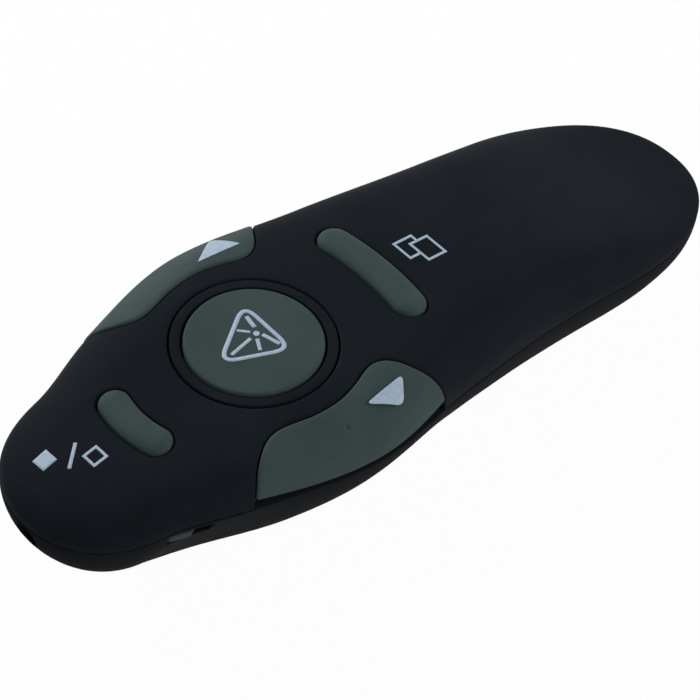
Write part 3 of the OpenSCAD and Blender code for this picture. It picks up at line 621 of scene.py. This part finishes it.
# %% [markdown]
# ## Lower shell and door
# The lower shell is a tub: an outer skin of rings from the parting line down to the flat patch
# that it stands on, an inner skin 1.6 mm in, and a lip that stands inside the upper shell. The
# two skins are one closed grid. The battery door's opening, the switch slot, the laser port and
# the receiver's slot have plain shapes, so here booleans are the simple way.

# %% Lower shell helpers
def rim_points(offset, n=560):
    """Rim of the outline drawn in by an offset along its own normal."""
    t = rim_steps(n)
    right = np.stack([half_width(t), t], -1)
    rim = np.concatenate([right, mirrored(right[-2:0:-1])])
    tangent = unit(np.roll(rim, -1, 0) - np.roll(rim, 1, 0))
    return rim - offset * np.stack([tangent[:, 1], -tangent[:, 0]], -1)


def belly_ring(rho, offset):
    """One ring of the belly's skin, or of the inner skin an offset in."""
    p = rim_points(offset)
    s = spine(p[:, 1], BELLY_CLOSE)
    x, d = rho * p[:, 0], s + rho * (p[:, 1] - s)
    return np.stack([x, d, belly_height(rho, d, offset)], -1)


def level_ring(offset, lift):
    """Ring that follows the parting line at a height over it."""
    p = rim_points(offset)
    return np.stack([p[:, 0], p[:, 1], seam_height(p[:, 1]) + lift], -1)


def grid_solid(rings):
    """Points and quads of a stack of rings whose two ends close on the spine."""
    stack = np.stack(rings)
    return stack.reshape(-1, 3), grid_faces(len(rings), stack.shape[1], True)


OUTER = [.9995, .998, .995, .99, .982, .97, .955, .935, .91, .88, .84, .8, .75, .7, .64, .58,
         .52, .46, .4, .34, .28, .22, .16, .1, .05, 0.0]


def cut(obj, cutters, operation="DIFFERENCE"):
    """Applies exact booleans one after another and keeps the result as the object's mesh."""
    for cutter in cutters:
        step = obj.modifiers.new("cut", "BOOLEAN")
        step.operation, step.solver, step.object = operation, "EXACT", cutter
    view = bpy.context.evaluated_depsgraph_get()
    done = bpy.data.meshes.new_from_object(obj.evaluated_get(view))
    obj.modifiers.clear()
    obj.data = done
    done.polygons.foreach_set("use_smooth", np.ones(len(done.polygons), bool))
    done.set_sharp_from_angle(angle=math.radians(30))
    for cutter in cutters:
        bpy.data.objects.remove(cutter)
    return obj


def joined(solids):
    """One array of points and one list of faces from several solids or strips."""
    points, faces, base = [], [], 0
    for p, f in solids:
        points.append(np.asarray(p, float).reshape(-1, 3))
        faces += [[base + int(i) for i in q] for q in f]
        base += len(points[-1])
    return np.concatenate(points), faces


def helper(name, points, faces):
    """A solid used only to cut with, in the same millimetre frame, its faces turned outward."""
    obj = bpy.data.objects.new(name, outward_mesh(name, points, faces, weld=False))
    bpy.context.scene.collection.objects.link(obj)
    return obj


def box_solid(low, high, turn=0.0, about=(0.0, 0.0)):
    """Corners and faces of a box, turned in plan about a point."""
    i = np.array([[a, b, c] for a in (0, 1) for b in (0, 1) for c in (0, 1)])
    p = np.where(i == 0, low, high).astype(float)
    c, s = math.cos(turn), math.sin(turn)
    q = p.copy()
    q[:, 0] = about[0] + c * p[:, 0] - s * p[:, 1]
    q[:, 1] = about[1] + s * p[:, 0] + c * p[:, 1]
    faces = [[0, 1, 3, 2], [4, 6, 7, 5], [0, 4, 5, 1], [2, 3, 7, 6], [0, 2, 6, 4], [1, 5, 7, 3]]
    return q, faces


def drum(ring, start, end):
    """A ring of points carried from one place to another and closed at both ends."""
    n = len(ring)
    return (np.concatenate([ring + start, ring + end]),
            [*grid_faces(2, n, True).tolist(), list(range(n))[::-1], list(range(n, 2 * n))])


def rod_solid(centre, radius, start, end, n=64):
    """A cylinder along Y from one distance to another."""
    x, z = (centre + radius * around(n)).T
    return drum(np.stack([x, 0 * x, z], -1), [0, start, 0], [0, end, 0])


def upright_rod(centre, radius, low, high, n=48):
    """A cylinder that stands on end."""
    x, d = (centre + radius * around(n)).T
    return drum(np.stack([x, d, 0 * x], -1), [0, 0, low], [0, 0, high])


def strip_solid(foot, head, across):
    """A wall between a foot line and a head line, thickened by one vector."""
    ring = np.stack([foot, foot + across, head + across, head], 1)
    m = 4 * len(foot)
    return ring, [*grid_faces(len(foot), 4, True).tolist(), [0, 1, 2, 3],
                  [m - 4, m - 3, m - 2, m - 1]]


# %% Lower shell
SLOT_AT, SLOT_LEN, SLOT_HIGH = 10.9, 5.6, 2.3
SLOT_MID = SLOT_AT + SLOT_LEN / 2
SLOT_TURN = -math.atan(float(half_width(SLOT_AT + SLOT_LEN) - half_width(SLOT_AT)) / SLOT_LEN)
SLOT_LOW = float(seam_height(SLOT_AT)) - GAP - 0.3 - SLOT_HIGH
SLOT_POINT = (float(half_width(SLOT_MID)), SLOT_MID)
PORT_RADIUS = 1.7
PORT_Z = float(seam_height(0)) - GAP - PORT_RADIUS - 0.2
BELOW_TABLE = -2.0  # cutters start here, so that they run clear through the shell
BAY_HALF, BAY_FRONT, BAY_REAR, BAY_TOP = 10.65, 22.0, 72.9, 18.7
BAY_WALL, BAY_ROOF = 1.0, 0.6
DOOR_GAP, DOOR_HIGH = 0.25, 12.75
PLUG_HALF, PLUG_LOW, PLUG_HIGH, SLEEVE_WALL = 7.65, 7.25, 13.95, 0.85
SLEEVE_FRONT, SLEEVE_REAR = 85.0, 92.0
CRADLES, CRADLE_LONG, CRADLE_HALF, BARREL_HALF = (8.2, 11.4), 1.4, 4.0, 3.05
SCREW_HEAD, WELL_OUT, POST, BORE = 2.0, 2.35, 1.9, 1.15
LIP_OUT, LIP_IN, DOOR_WALL = 1.85, 2.65, 1.2


def tub(offset_in):
    """Closed two-skin tub with its lip, which fills a fifth of the room under the crown."""
    def raised(offset):
        ring = level_ring(offset, 0.0)
        high = rise(ring[:, 1])
        ring[:, 2] += 0.2 * np.maximum(0.1 * high, high - 1.6)
        return ring
    rings = [belly_ring(r, offset_in) for r in OUTER[::-1][:-6:2] + [0.96]]
    rings += [level_ring(WALL, -1.4), level_ring(LIP_IN, -0.6), raised(LIP_IN),
              raised(LIP_OUT), level_ring(LIP_OUT, -GAP), level_ring(0.25, -GAP),
              level_ring(0.1, -GAP - 0.03), level_ring(0.02, -GAP - 0.12)]
    rings += [belly_ring(r, 0.0) for r in OUTER]
    return grid_solid(rings)


def build_lower_shell():
    """The tub less the door's opening, the port, the switch slot and the receiver's slot."""
    obj = piece("lower_shell_skin", *tub(WALL), "case", lower_black, "shell", ["lower_shell"], 30)
    cutters = [helper("c1", *box_solid((-BAY_HALF, BAY_FRONT, BELOW_TABLE),
                                      (BAY_HALF, BAY_REAR, DOOR_HIGH))),
               helper("c2", *rod_solid((0, PORT_Z), PORT_RADIUS, -2, 8)),
               helper("c3", *box_solid((-3.2, -SLOT_LEN / 2, SLOT_LOW),
                                       (2, SLOT_LEN / 2, SLOT_LOW + SLOT_HIGH),
                                       SLOT_TURN, SLOT_POINT)),
               helper("c4", *box_solid((-PLUG_HALF, 84, PLUG_LOW), (PLUG_HALF, 110, PLUG_HIGH)))]
    cutters += [helper("c5", *upright_rod((x, d), SCREW_HEAD, BELOW_TABLE, 6))
                for x, d, _, _ in WELLS]
    return cut(obj, cutters)


WELLS = [(0.0, 19.4, 6.0, 18.85), (5.0, 76.15, 9.0, 15.0), (-5.0, 76.15, 9.0, 15.0)]
build_lower_shell()


def build_door():
    """The part of the outer skin that the door's opening took out, less its 0.25 mm gap."""
    outer = [belly_ring(r, 0.0) for r in OUTER[:-1]]
    inner = [belly_ring(r, DOOR_WALL) for r in OUTER[:-1:2]][::-1]
    obj = piece("battery_door_skin", *grid_solid([belly_ring(0.0, DOOR_WALL)] + inner + outer
                                                 + [belly_ring(0.0, 0.0)]),
                "battery_door", lower_black, "shell", ["battery_door"], 30)
    half = BAY_HALF - DOOR_GAP
    return cut(obj, [helper("c1", *box_solid((-half, BAY_FRONT + DOOR_GAP, BELOW_TABLE),
                                             (half, BAY_REAR - DOOR_GAP, DOOR_HIGH)))],
               "INTERSECT")


build_door()

# %% Cell bay, screw wells and cradle
def build_bay():
    """Bay walls whose feet follow the belly, its roof, the laser's cradle and the receiver's
    sleeve."""
    def wall(foot, across):
        return strip_solid(foot, foot * [1, 1, 0] + [0, 0, BAY_TOP], np.array(across))
    solids = []
    d = np.linspace(BAY_FRONT - BAY_WALL, BAY_REAR + BAY_WALL, 40)
    for side in (1.0, -1.0):
        x = side * BAY_HALF + 0 * d
        solids.append(wall(np.stack([x, d, under(x, d, WALL) - 0.3], -1),
                           [side * BAY_WALL, 0, 0]))
    x = np.linspace(-BAY_HALF - BAY_WALL, BAY_HALF + BAY_WALL, 40)
    for at in (BAY_FRONT - BAY_WALL, BAY_REAR):
        solids.append(wall(np.stack([x, at + 0 * x, under(x, at + 0.5, 0.8)], -1),
                           [0, BAY_WALL, 0]))
    solids.append(box_solid((-BAY_HALF - 0.5, BAY_FRONT - 0.5, BAY_TOP - BAY_ROOF),
                            (BAY_HALF + 0.5, BAY_REAR + 0.5, BAY_TOP)))
    for at in CRADLES:
        low, end = float(under(4.0, at, WALL)) - 0.3, at + CRADLE_LONG
        for x0, x1, top in ((-CRADLE_HALF, -BARREL_HALF, PORT_Z),
                            (BARREL_HALF, CRADLE_HALF, PORT_Z),
                            (-BARREL_HALF, BARREL_HALF, PORT_Z - BARREL_HALF)):
            solids.append(box_solid((x0, at, low), (x1, end, top)))
    out, low, high = PLUG_HALF + SLEEVE_WALL, PLUG_LOW - SLEEVE_WALL, PLUG_HIGH + SLEEVE_WALL
    for x0, x1, z0, z1 in ((-out, out, low, PLUG_LOW), (-out, out, PLUG_HIGH, high),
                           (-out, -PLUG_HALF, PLUG_LOW, PLUG_HIGH),
                           (PLUG_HALF, out, PLUG_LOW, PLUG_HIGH)):
        solids.append(box_solid((x0, SLEEVE_FRONT, z0), (x1, SLEEVE_REAR, z1)))
    return piece("cell_bay", *joined(solids), "case", lower_black, "shell", (), 30)


def build_wells():
    """Tubes with a seat for each screw's head. The foot of each follows the belly's wall."""
    solids = []
    for x0, d0, seat, top in WELLS:
        rows = [(WELL_OUT, None), (WELL_OUT, seat + 1.2), (POST, seat + 1.2), (POST, top),
                (BORE, top), (BORE, seat), (SCREW_HEAD, seat), (SCREW_HEAD, None),
                (WELL_OUT, None)]
        ring = []
        for radius, z in rows:
            x, d = ((x0, d0) + radius * around(64)).T
            foot = under(x, d, WALL) - 0.4 if z is None else z + 0 * x
            ring.append(np.stack([x, d, foot], -1))
        solids.append((np.stack(ring), grid_faces(len(rows), 64, True)))
    return piece("screw_wells", *joined(solids), "case", lower_black, "shell", (), 30)


build_bay()
build_wells()

# %% [markdown]
# ## Keys
# The keys are moulded silicone caps. A cap's top follows the skin of the shell, stands a
# little proud of it and rolls over its edge. The round key and the trim ring round it are
# polar grids. The bars and page keys have free outlines, so they are triangulated in plan.

# %% Round key and trim ring
def polar_piece(name, profile, body, material, slot, stands_for):
    """profile rows are (radius, height over the skin); each is carried once round the key."""
    r, lift = np.array(profile, float).T
    cos, sin = around(256).T
    x, d = r[:, None] * cos, KEY_AT + r[:, None] * sin
    z = shell_top(x.ravel(), d.ravel()).reshape(x.shape) + lift[:, None]
    return piece(name, np.stack([x, d, z], -1), grid_faces(len(r), 256, True), body, material,
                 slot, stands_for, 60)


def rolled(radius, edge, proud, steps=7):
    """(radius, lift) rows of a quarter round that ends at the wall."""
    a = np.linspace(0, np.pi / 2, steps)
    return [(radius - edge + edge * math.sin(t), proud - edge + edge * math.cos(t)) for t in a]


KEY_LIFT, CAP_RADIUS = 0.2, 8.1
TRIM_IN, TRIM_OUT, SKIRT_END = 8.4, 9.62, -2.4
key_profile = [(r, KEY_LIFT) for r in (0.0, 1.5, 3.0, 4.5, 6.0, 7.2)]
key_profile += rolled(CAP_RADIUS, 0.35, KEY_LIFT)
key_profile += [(CAP_RADIUS, -1.0), (CAP_RADIUS, SKIRT_END), (0.0, SKIRT_END)]
polar_piece("laser_key_cap", key_profile, "laser_key", key_rubber, "key", ["laser_key"])
inner_edge = [(2 * TRIM_IN - r, h) for r, h in rolled(TRIM_IN, 0.15, 0.0)][::-1]
trim_profile = [(TRIM_IN, -2.2), (TRIM_IN, -0.6)] + inner_edge + [(9.0, 0.0)]
trim_profile += rolled(TRIM_OUT, 0.15, 0.0)
trim_profile += [(TRIM_OUT, -0.6), (TRIM_OUT, -2.2), (TRIM_IN, -2.2)]
polar_piece("trim_ring_band", trim_profile, "case", trim_black, "trim", ["trim_ring"])

# %% Bars and page keys
CAP_STEP = 0.55  # spacing of the points on a cap's top
BAR_LIFT, BAR_ROLL = 0.8, (1.75, 1.0)
PAGE_LIFT, PAGE_ROLL, PAGE_SKIRT = 0.15, (0.35, 0.35), 1.8
PIT_DEPTH, PIT_RADIUS, PIT_AT = 0.22, 0.22, (15.54, KEY_AT + 0.28)


def cap_piece(name, outlines, keep, main, body, proud, roll, wall, rim=None, stands_for=(),
              dimple=None):
    """Plan triangles lifted to the skin and pushed out along its normal, less a roll of a given
    reach and depth near the outline. A dimple is a pit, depth * exp(-(r / radius) ** 2)."""
    x0, x1 = main[:, 0].min(), main[:, 0].max()
    y0, y1 = main[:, 1].min(), main[:, 1].max()
    gx, gy = np.meshgrid(np.arange(x0, x1, CAP_STEP), np.arange(y0, y1, CAP_STEP))
    gx, gy = gx.ravel(), gy.ravel()
    near = distance_to(main, gx, gy, rim is None)
    room = keep(gx, gy) & (near > roll[0] + 0.15)
    if rim is not None:
        room &= np.abs(ring_of(gx, gy)) < 0.75
    loose = np.stack([gx, gy], -1)[room]
    if dimple:
        pit = [dimple + r * around(18) for r in (0.1, 0.2, 0.3, 0.42, 0.6)]
        loose = np.concatenate([loose[np.linalg.norm(loose - dimple, axis=1) > 0.75], *pit])
    plan, tris = triangulate(outlines, keep, loose)
    x, y = plan.T
    drop = edge_drop(distance_to(main, x, y, rim is None), *roll)
    if dimple:
        away = (x - dimple[0])**2 + (y - dimple[1])**2
        drop = drop + PIT_DEPTH * np.exp(-away / PIT_RADIUS**2)
    top = np.stack([x, y, shell_top(x, y)], -1) + (proud - drop)[:, None] * shell_normal(x, y)
    edge = open_edges(tris)
    deep = top - [0, 0, wall]
    if rim is not None:
        deep[:, 2] = np.maximum(deep[:, 2], seam_height(y) + 0.5)
        at_side = distance_to(rim, x, y) < 1e-3
        deep[at_side] = top[at_side] * [0.94, 1, 1] - [0, 0, 0.1]
    faces = [*tris.tolist(), *wall_faces(edge, len(top)).tolist()]
    return piece(name, np.concatenate([top, deep]), faces, body, key_rubber, "key", stands_for,
                 60)


def bar_cap(name, shape, body, node, skirt):
    """A bar key: its outline and the parallels of its rolled edge. The skirt stays clear of the
    switch under it when the key is pressed."""
    lines = [(shape(-g), True) for g in (0, 0.01, 0.04, 0.09, 0.16, 0.26, 0.4, 0.58, 0.8, 1.05,
                                         1.35, 1.7)]
    return cap_piece(name, lines, lambda x, y: inside(shape(0), x, y), shape(0), body, BAR_LIFT,
                     BAR_ROLL, skirt, None, [node])


bar_cap("rear_bar_cap", rear_bar, "rear_bar_key", "rear_bar_key", 1.8)
bar_cap("front_bar_cap", front_bar, "front_bar_key", "front_bar_key", 1.2)


def page_ring(share):
    """Ring of a page key. Share 1 is its lower rim, 0.0016 of the way in from the body's rim and
    0.0067 more at its two ends, where it climbs. Larger shares lie further up the shoulder."""
    middle, half = (PAGE_FRONT + PAGE_REAR) / 2, (PAGE_REAR - PAGE_FRONT) / 2
    return rim_line(lambda t: 1 - share * (0.0016 + 0.0067 * np.minimum(
        np.abs(t - middle) / half, 1)**4))


def page_cap(name, body, node, side):
    """A page key wraps over the shoulder and ends just above the parting line, higher at its two
    ends. The right one has the moulding gate's small pit."""
    flip = np.array([side, 1.0])
    main = page_edge(0.0) * flip
    lines = [(page_edge(-g) * flip, False) for g in (0, 0.015, 0.05, 0.11, 0.2, 0.35)]
    lines += [(page_ring(k), True) for k in (1, 1.6, 2.5, 3.8, 5.6, 8, 11, 15.5, 21, 28)]
    rim = page_ring(1)

    def keep(x, y):
        return inside(main, x, y) & inside(rim, x, y)

    return cap_piece(name, lines, keep, main, body, PAGE_LIFT, PAGE_ROLL, PAGE_SKIRT, rim,
                     [node], PIT_AT if side > 0 else None)


page_cap("page_cap_right", "page_key_right", "page_key_right", 1.0)
page_cap("page_cap_left", "page_key_left", "page_key_left", -1.0)

# %% [markdown]
# ## Pad prints
# The icons are a film of ink a few hundredths of a millimetre thick. Each stroke is a ribbon
# that follows the skin it is printed on, and gets its thickness from a Solidify modifier.

# %% Ribbon and patch
def on_skin(plan, lift):
    """Plan points raised to the skin and a lift along its normal."""
    x, y = plan[..., 0].ravel(), plan[..., 1].ravel()
    p = np.stack([x, y, shell_top(x, y)], -1) + lift * shell_normal(x, y)
    return p.reshape(*plan.shape[:-1], 3)


def steps_along(line, step):
    """Distance to each point of a polyline, and the same distances with one at every step."""
    run = np.concatenate([[0], np.cumsum(np.linalg.norm(np.diff(line, axis=0), axis=1))])
    return run, np.unique(np.concatenate([run, np.arange(0, run[-1], step)]))


def points_at(s, run, line):
    """Points of a polyline at the distances s."""
    return np.stack([np.interp(s, run, line[:, i]) for i in (0, 1)], -1)


def ribbon(corners, width, closed, step=0.25):
    """A polyline with mitred corners widened to both sides, as a strip of points."""
    c = np.asarray(corners, float)
    if closed:
        before, after = np.roll(c, 1, 0), np.roll(c, -1, 0)
    else:
        before = np.concatenate([[2 * c[0] - c[1]], c[:-1]])
        after = np.concatenate([c[1:], [2 * c[-1] - c[-2]]])
    a = unit(c - before)
    m = unit(a + unit(after - c))
    side = np.stack([-m[:, 1], m[:, 0]], -1) / (m * a).sum(1, keepdims=True)
    left, right = c + side * width / 2, c - side * width / 2
    if closed:
        left, right = np.concatenate([left, left[:1]]), np.concatenate([right, right[:1]])
        c = np.concatenate([c, c[:1]])
    run, s = steps_along(c, step)
    l, r = points_at(s, run, left), points_at(s, run, right)
    return np.stack([l, (l + r) / 2, r], 1)


def print_piece(name, grids, lift, body):
    """Joins several strips into one print."""
    strips = [(on_skin(g, lift), grid_faces(*g.shape[:2])) for g in grids]
    obj = piece(name, *joined(strips), body, pad_print_ink, "key", (), 60)
    thick = obj.modifiers.new("film", "SOLIDIFY")
    thick.thickness, thick.offset = 0.00003, 0.0
    return obj


def square_patch(x0, x1, y0, y1, n=9):
    """A filled rectangle as a grid."""
    x, y = np.meshgrid(np.linspace(x0, x1, n), np.linspace(y0, y1, n), indexing="ij")
    return np.stack([x, y + KEY_AT], -1)


def rounded(corners, radius, n=7):
    """A polygon whose corners are quadratic bends of a given reach."""
    c = np.asarray(corners, float)
    before, after = np.roll(c, 1, 0), np.roll(c, -1, 0)
    p, q = c + unit(before - c) * radius, c + unit(after - c) * radius
    t = np.linspace(0, 1, n)[:, None]
    bend = [(1 - t)**2 * p[i] + 2 * t * (1 - t) * c[i] + t**2 * q[i] for i in range(len(c))]
    return np.concatenate(bend)


def filled(corners, radius):
    """A rounded polygon, stepped every 0.2 mm so that it follows the skin, filled by rings."""
    line = rounded(corners, radius)
    line = np.concatenate([line, line[:1]])
    run, s = steps_along(line, 0.2)
    line = points_at(s, run, line)
    share = np.linspace(0, 1, 12)[:, None, None]
    middle = line[:-1].mean(0)
    return middle + share * (line - middle)


INK, PAGE_INK = 0.02, 0.19
key = np.array([0.0, KEY_AT])

# %% Icons on the shell
print_piece("square_solid_print", [square_patch(-4.25, -2.3, -28.75, -26.8)], INK, "case")
print_piece("slash_print", [ribbon(np.array([[-2.5, -24.05], [-0.36, -26.7]]) + key, 0.42, False)],
            INK, "case")
print_piece("square_line_print",
            [ribbon(np.array([[-0.45, -24.55], [1.35, -24.55], [1.35, -22.8],
                              [-0.45, -22.8]]) + key, 0.34, True)], INK, "case")
front_sheet = np.array([[-0.83, 25.22], [2.38, 25.22], [2.38, 27.93], [-0.83, 27.93]]) + key
rear_sheet = np.array([[-0.83, 26.33], [-1.88, 26.33], [-1.88, 23.57], [0.98, 23.57],
                       [0.98, 25.22]]) + key
print_piece("sheets_print", [ribbon(front_sheet, 0.34, True), ribbon(rear_sheet, 0.34, False)],
            INK, "case")

# %% Icons on the keys
print_piece("arrow_right_print",
            [filled(np.array([[13.8, 10.25], [16.6, 8.0], [14.6, 3.8]]) + key, 1.0)],
            PAGE_INK, "page_key_right")
print_piece("arrow_left_print",
            [filled(np.array([[-12.87, 9.32], [-16.34, 7.8], [-13.64, 3.46]]) + key, 0.3)],
            PAGE_INK, "page_key_left")
corner = np.array([[-4.83, 2.6], [3.76, 2.37], [0.08, -5.24]])
hub = np.array([-0.56, 0.83])
RAYS = [(-1.4, 1.32, -3.24, 1.68, 0.53),
        (-1.18, 0.45, -2.32, -0.57, 0.36),
        (-0.41, -0.15, 0.06, -3.43, 0.43),
        (0.1, 0.38, 1.62, -0.52, 0.45),
        (-0.0, 1.26, 2.31, 1.83, 0.5)]
strips = [ribbon(rounded(corner, 2.2) + key, 0.52, True, 0.2),
          filled(hub + 0.38 * around(20) + key, 0.03)]
strips += [ribbon(np.array([[x0, y0], [x1, y1]]) + key, width, False)
           for x0, y0, x1, y1, width in RAYS]
print_piece("ray_triangle_print", strips, KEY_LIFT + INK, "laser_key")

# %% [markdown]
# ## Power knob
# The slide's knob is a small plain block with rounded ends, in the front half of its slot.

# %% Power knob
KNOB_LEN, PLAY = 3.1, 0.15
KNOB_AT = -(SLOT_LEN - KNOB_LEN) / 2 + PLAY


def wall_back(z):
    """How far the belly has drawn in at height z: w - w * rho, rho = (1 - t ** e) ** (1 / e)
    with t the share of the depth."""
    e, w = float(through(FULL, SLOT_MID)), float(half_width(SLOT_MID))
    seam = float(seam_height(SLOT_MID)) - GAP
    t = np.clip((seam - z) / (seam - float(through(LOW, SLOT_MID))), 0, 1)
    return w - w * (1 - t**e)**(1 / e)


def build_knob():
    """A grid carried over the knob's outer face, which leans in with the shell's wall and
    rolls away at both ends."""
    s = np.linspace(-KNOB_LEN / 2, KNOB_LEN / 2, 61)
    bend = edge_drop(KNOB_LEN / 2 - np.abs(s), 0.45)
    low, high = SLOT_LOW + PLAY, SLOT_LOW + SLOT_HIGH - PLAY
    h = np.array([low, low, low + 0.06, low + 0.2, *np.linspace(low + 0.5, high - 0.5, 5),
                  high - 0.2, high - 0.06, high, high])
    out = np.array([-1.7, -0.2, 0.0, 0.1, *[0.1] * 5, 0.1, 0.0, -0.2, -1.7])
    face = out > -1
    u = out[:, None] - bend[None, :] * face[:, None] - (wall_back(h) * face)[:, None]
    c, t = math.cos(SLOT_TURN), math.sin(SLOT_TURN)
    v = (KNOB_AT + s)[None, :] + 0 * u
    x = SLOT_POINT[0] + c * u - t * v
    d = SLOT_POINT[1] + t * u + c * v
    p = np.stack([x, d, h[:, None] + 0 * u], -1)
    faces = grid_faces(*p.shape[:2]).tolist()
    rows, cols = p.shape[:2]
    faces.append([i * cols for i in range(rows)])
    faces.append([i * cols + cols - 1 for i in range(rows)][::-1])
    faces.append(list(range(cols)) + list(range((rows - 1) * cols, rows * cols))[::-1])
    return piece("power_knob_cap", p, faces, "power_slide", knob_plastic, "knob",
                 ["power_knob"], 35)


build_knob()

# %% [markdown]
# ## Finishes for the CAD pieces
# The pieces inside keep their CAD meshes, which are already exact. Each only gets the finish of
# its real material.

# %% Dress the CAD nodes
finishes = {
    red_nylon: "laser_plunger right_plunger left_plunger rear_plunger front_plunger",
    nylon: "power_lever receiver_tongue",
    spring_steel: "power_switch crystal minus_spring bridge_spring minus_contact plus_contact "
                  "bridge_contact receiver_plug",
    screw_steel: "case_screws", turned_brass: "laser_barrel", lens_clear: "laser_lens",
    solder_mask: "laser_board main_board", wire_sleeve: "laser_leads",
    epoxy_black: "tact_switches radio_chip controller_chip board_resistors",
    ceramic: "board_capacitors", antenna_copper: "antenna", shrink_sleeve: "cell_left cell_right",
    lower_black: "receiver_housing lower_shell battery_door", soft_touch_black: "upper_shell",
    trim_black: "trim_ring", knob_plastic: "power_knob",
    key_rubber: "laser_key page_key_right page_key_left rear_bar_key front_bar_key"}
finish_of = {name: material for material, names in finishes.items() for name in names.split()}
for name, material in finish_of.items():
    nodes[name].data.materials.clear()
    nodes[name].data.materials.append(material)
print("dressed", len(finish_of), "nodes; left", sorted(set(nodes) - set(finish_of)))

# %% [markdown]
# ## Floor, light and white ground
# The clicker lies on a plain white table. The floor looks white to the camera through Light
# Path, and a small share of its true shading is mixed in, so that it keeps a faint shadow. A
# low soft box on the left is the main light. One beyond the tail and a weaker one on the right
# fill the far side.

# %% Floor, world and lamps
PLAIN_WHITE = 0.97  # share of the floor's look that is plain white, the rest keeps the shadow


def seen_directly(tree):
    """1 for camera, glossy and transmission rays, by their largest value, else 0."""
    path = add_node(tree, "ShaderNodeLightPath")
    seen = add_node(tree, "ShaderNodeMath", {"operation": "MAXIMUM"},
                    {0: path.outputs["Is Camera Ray"], 1: path.outputs["Is Glossy Ray"]})
    return add_node(tree, "ShaderNodeMath", {"operation": "MAXIMUM"},
                    {0: seen.outputs[0], 1: path.outputs["Is Transmission Ray"]}).outputs[0]


def build_floor():
    """A level square with a shader that is mostly plain white to camera rays."""
    mesh = bpy.data.meshes.new("floor")
    s = 3.0
    mesh.from_pydata([(-s, -s, 0), (s, -s, 0), (s, s, 0), (-s, s, 0)], [], [(0, 1, 2, 3)])
    floor = bpy.data.objects.new("floor", mesh)
    bpy.context.scene.collection.objects.link(floor)
    material, tree = new_material("white_table")
    share = add_node(tree, "ShaderNodeMath", {"operation": "MULTIPLY", 1: PLAIN_WHITE},
                     {0: seen_directly(tree)})
    matt = add_node(tree, "ShaderNodeBsdfDiffuse", {"Color": linear("#e8e8e8")})
    white = add_node(tree, "ShaderNodeEmission", {"Color": (1, 1, 1, 1), "Strength": 1.0})
    mix = add_node(tree, "ShaderNodeMixShader", None,
                   {0: share.outputs[0], 1: matt.outputs[0], 2: white.outputs[0]})
    mesh.materials.append(finished(material, mix))
    return floor


def build_world():
    """White to the camera and in gloss and glass, a dim even grey as light."""
    world = bpy.data.worlds.new("studio")
    bpy.context.scene.world = world
    world.use_nodes = True
    tree = world.node_tree
    tree.nodes.clear()
    dim = add_node(tree, "ShaderNodeBackground", {"Color": (1, 1, 1, 1), "Strength": 0.18})
    white = add_node(tree, "ShaderNodeBackground", {"Color": (1, 1, 1, 1), "Strength": 1.0})
    mix = add_node(tree, "ShaderNodeMixShader", None,
                   {0: seen_directly(tree), 1: dim.outputs[0], 2: white.outputs[0]})
    return add_node(tree, "ShaderNodeOutputWorld", None, {"Surface": mix.outputs[0]})


def soft_box(name, place, size, power):
    """A square area lamp that looks at the clicker."""
    data = bpy.data.lights.new(name, "AREA")
    data.shape, data.size, data.energy = "SQUARE", size, power
    lamp = bpy.data.objects.new(name, data)
    lamp.location = place
    lamp.rotation_mode = "QUATERNION"
    lamp.rotation_quaternion = (Vector((0, 0, 0.02)) - Vector(place)).to_track_quat("-Z", "Y")
    bpy.context.scene.collection.objects.link(lamp)
    return lamp


floor = build_floor()
build_world()
soft_box("left_soft_box", (-0.66, -0.02, 0.45), 0.5, 5.6)
soft_box("tail_soft_box", (0.52, 0.64, 0.36), 0.5, 3.6)
soft_box("right_soft_box", (0.72, -0.3, 0.5), 0.5, 2.4)
bpy.context.scene.view_settings.view_transform = "Standard"
print("stage ready")
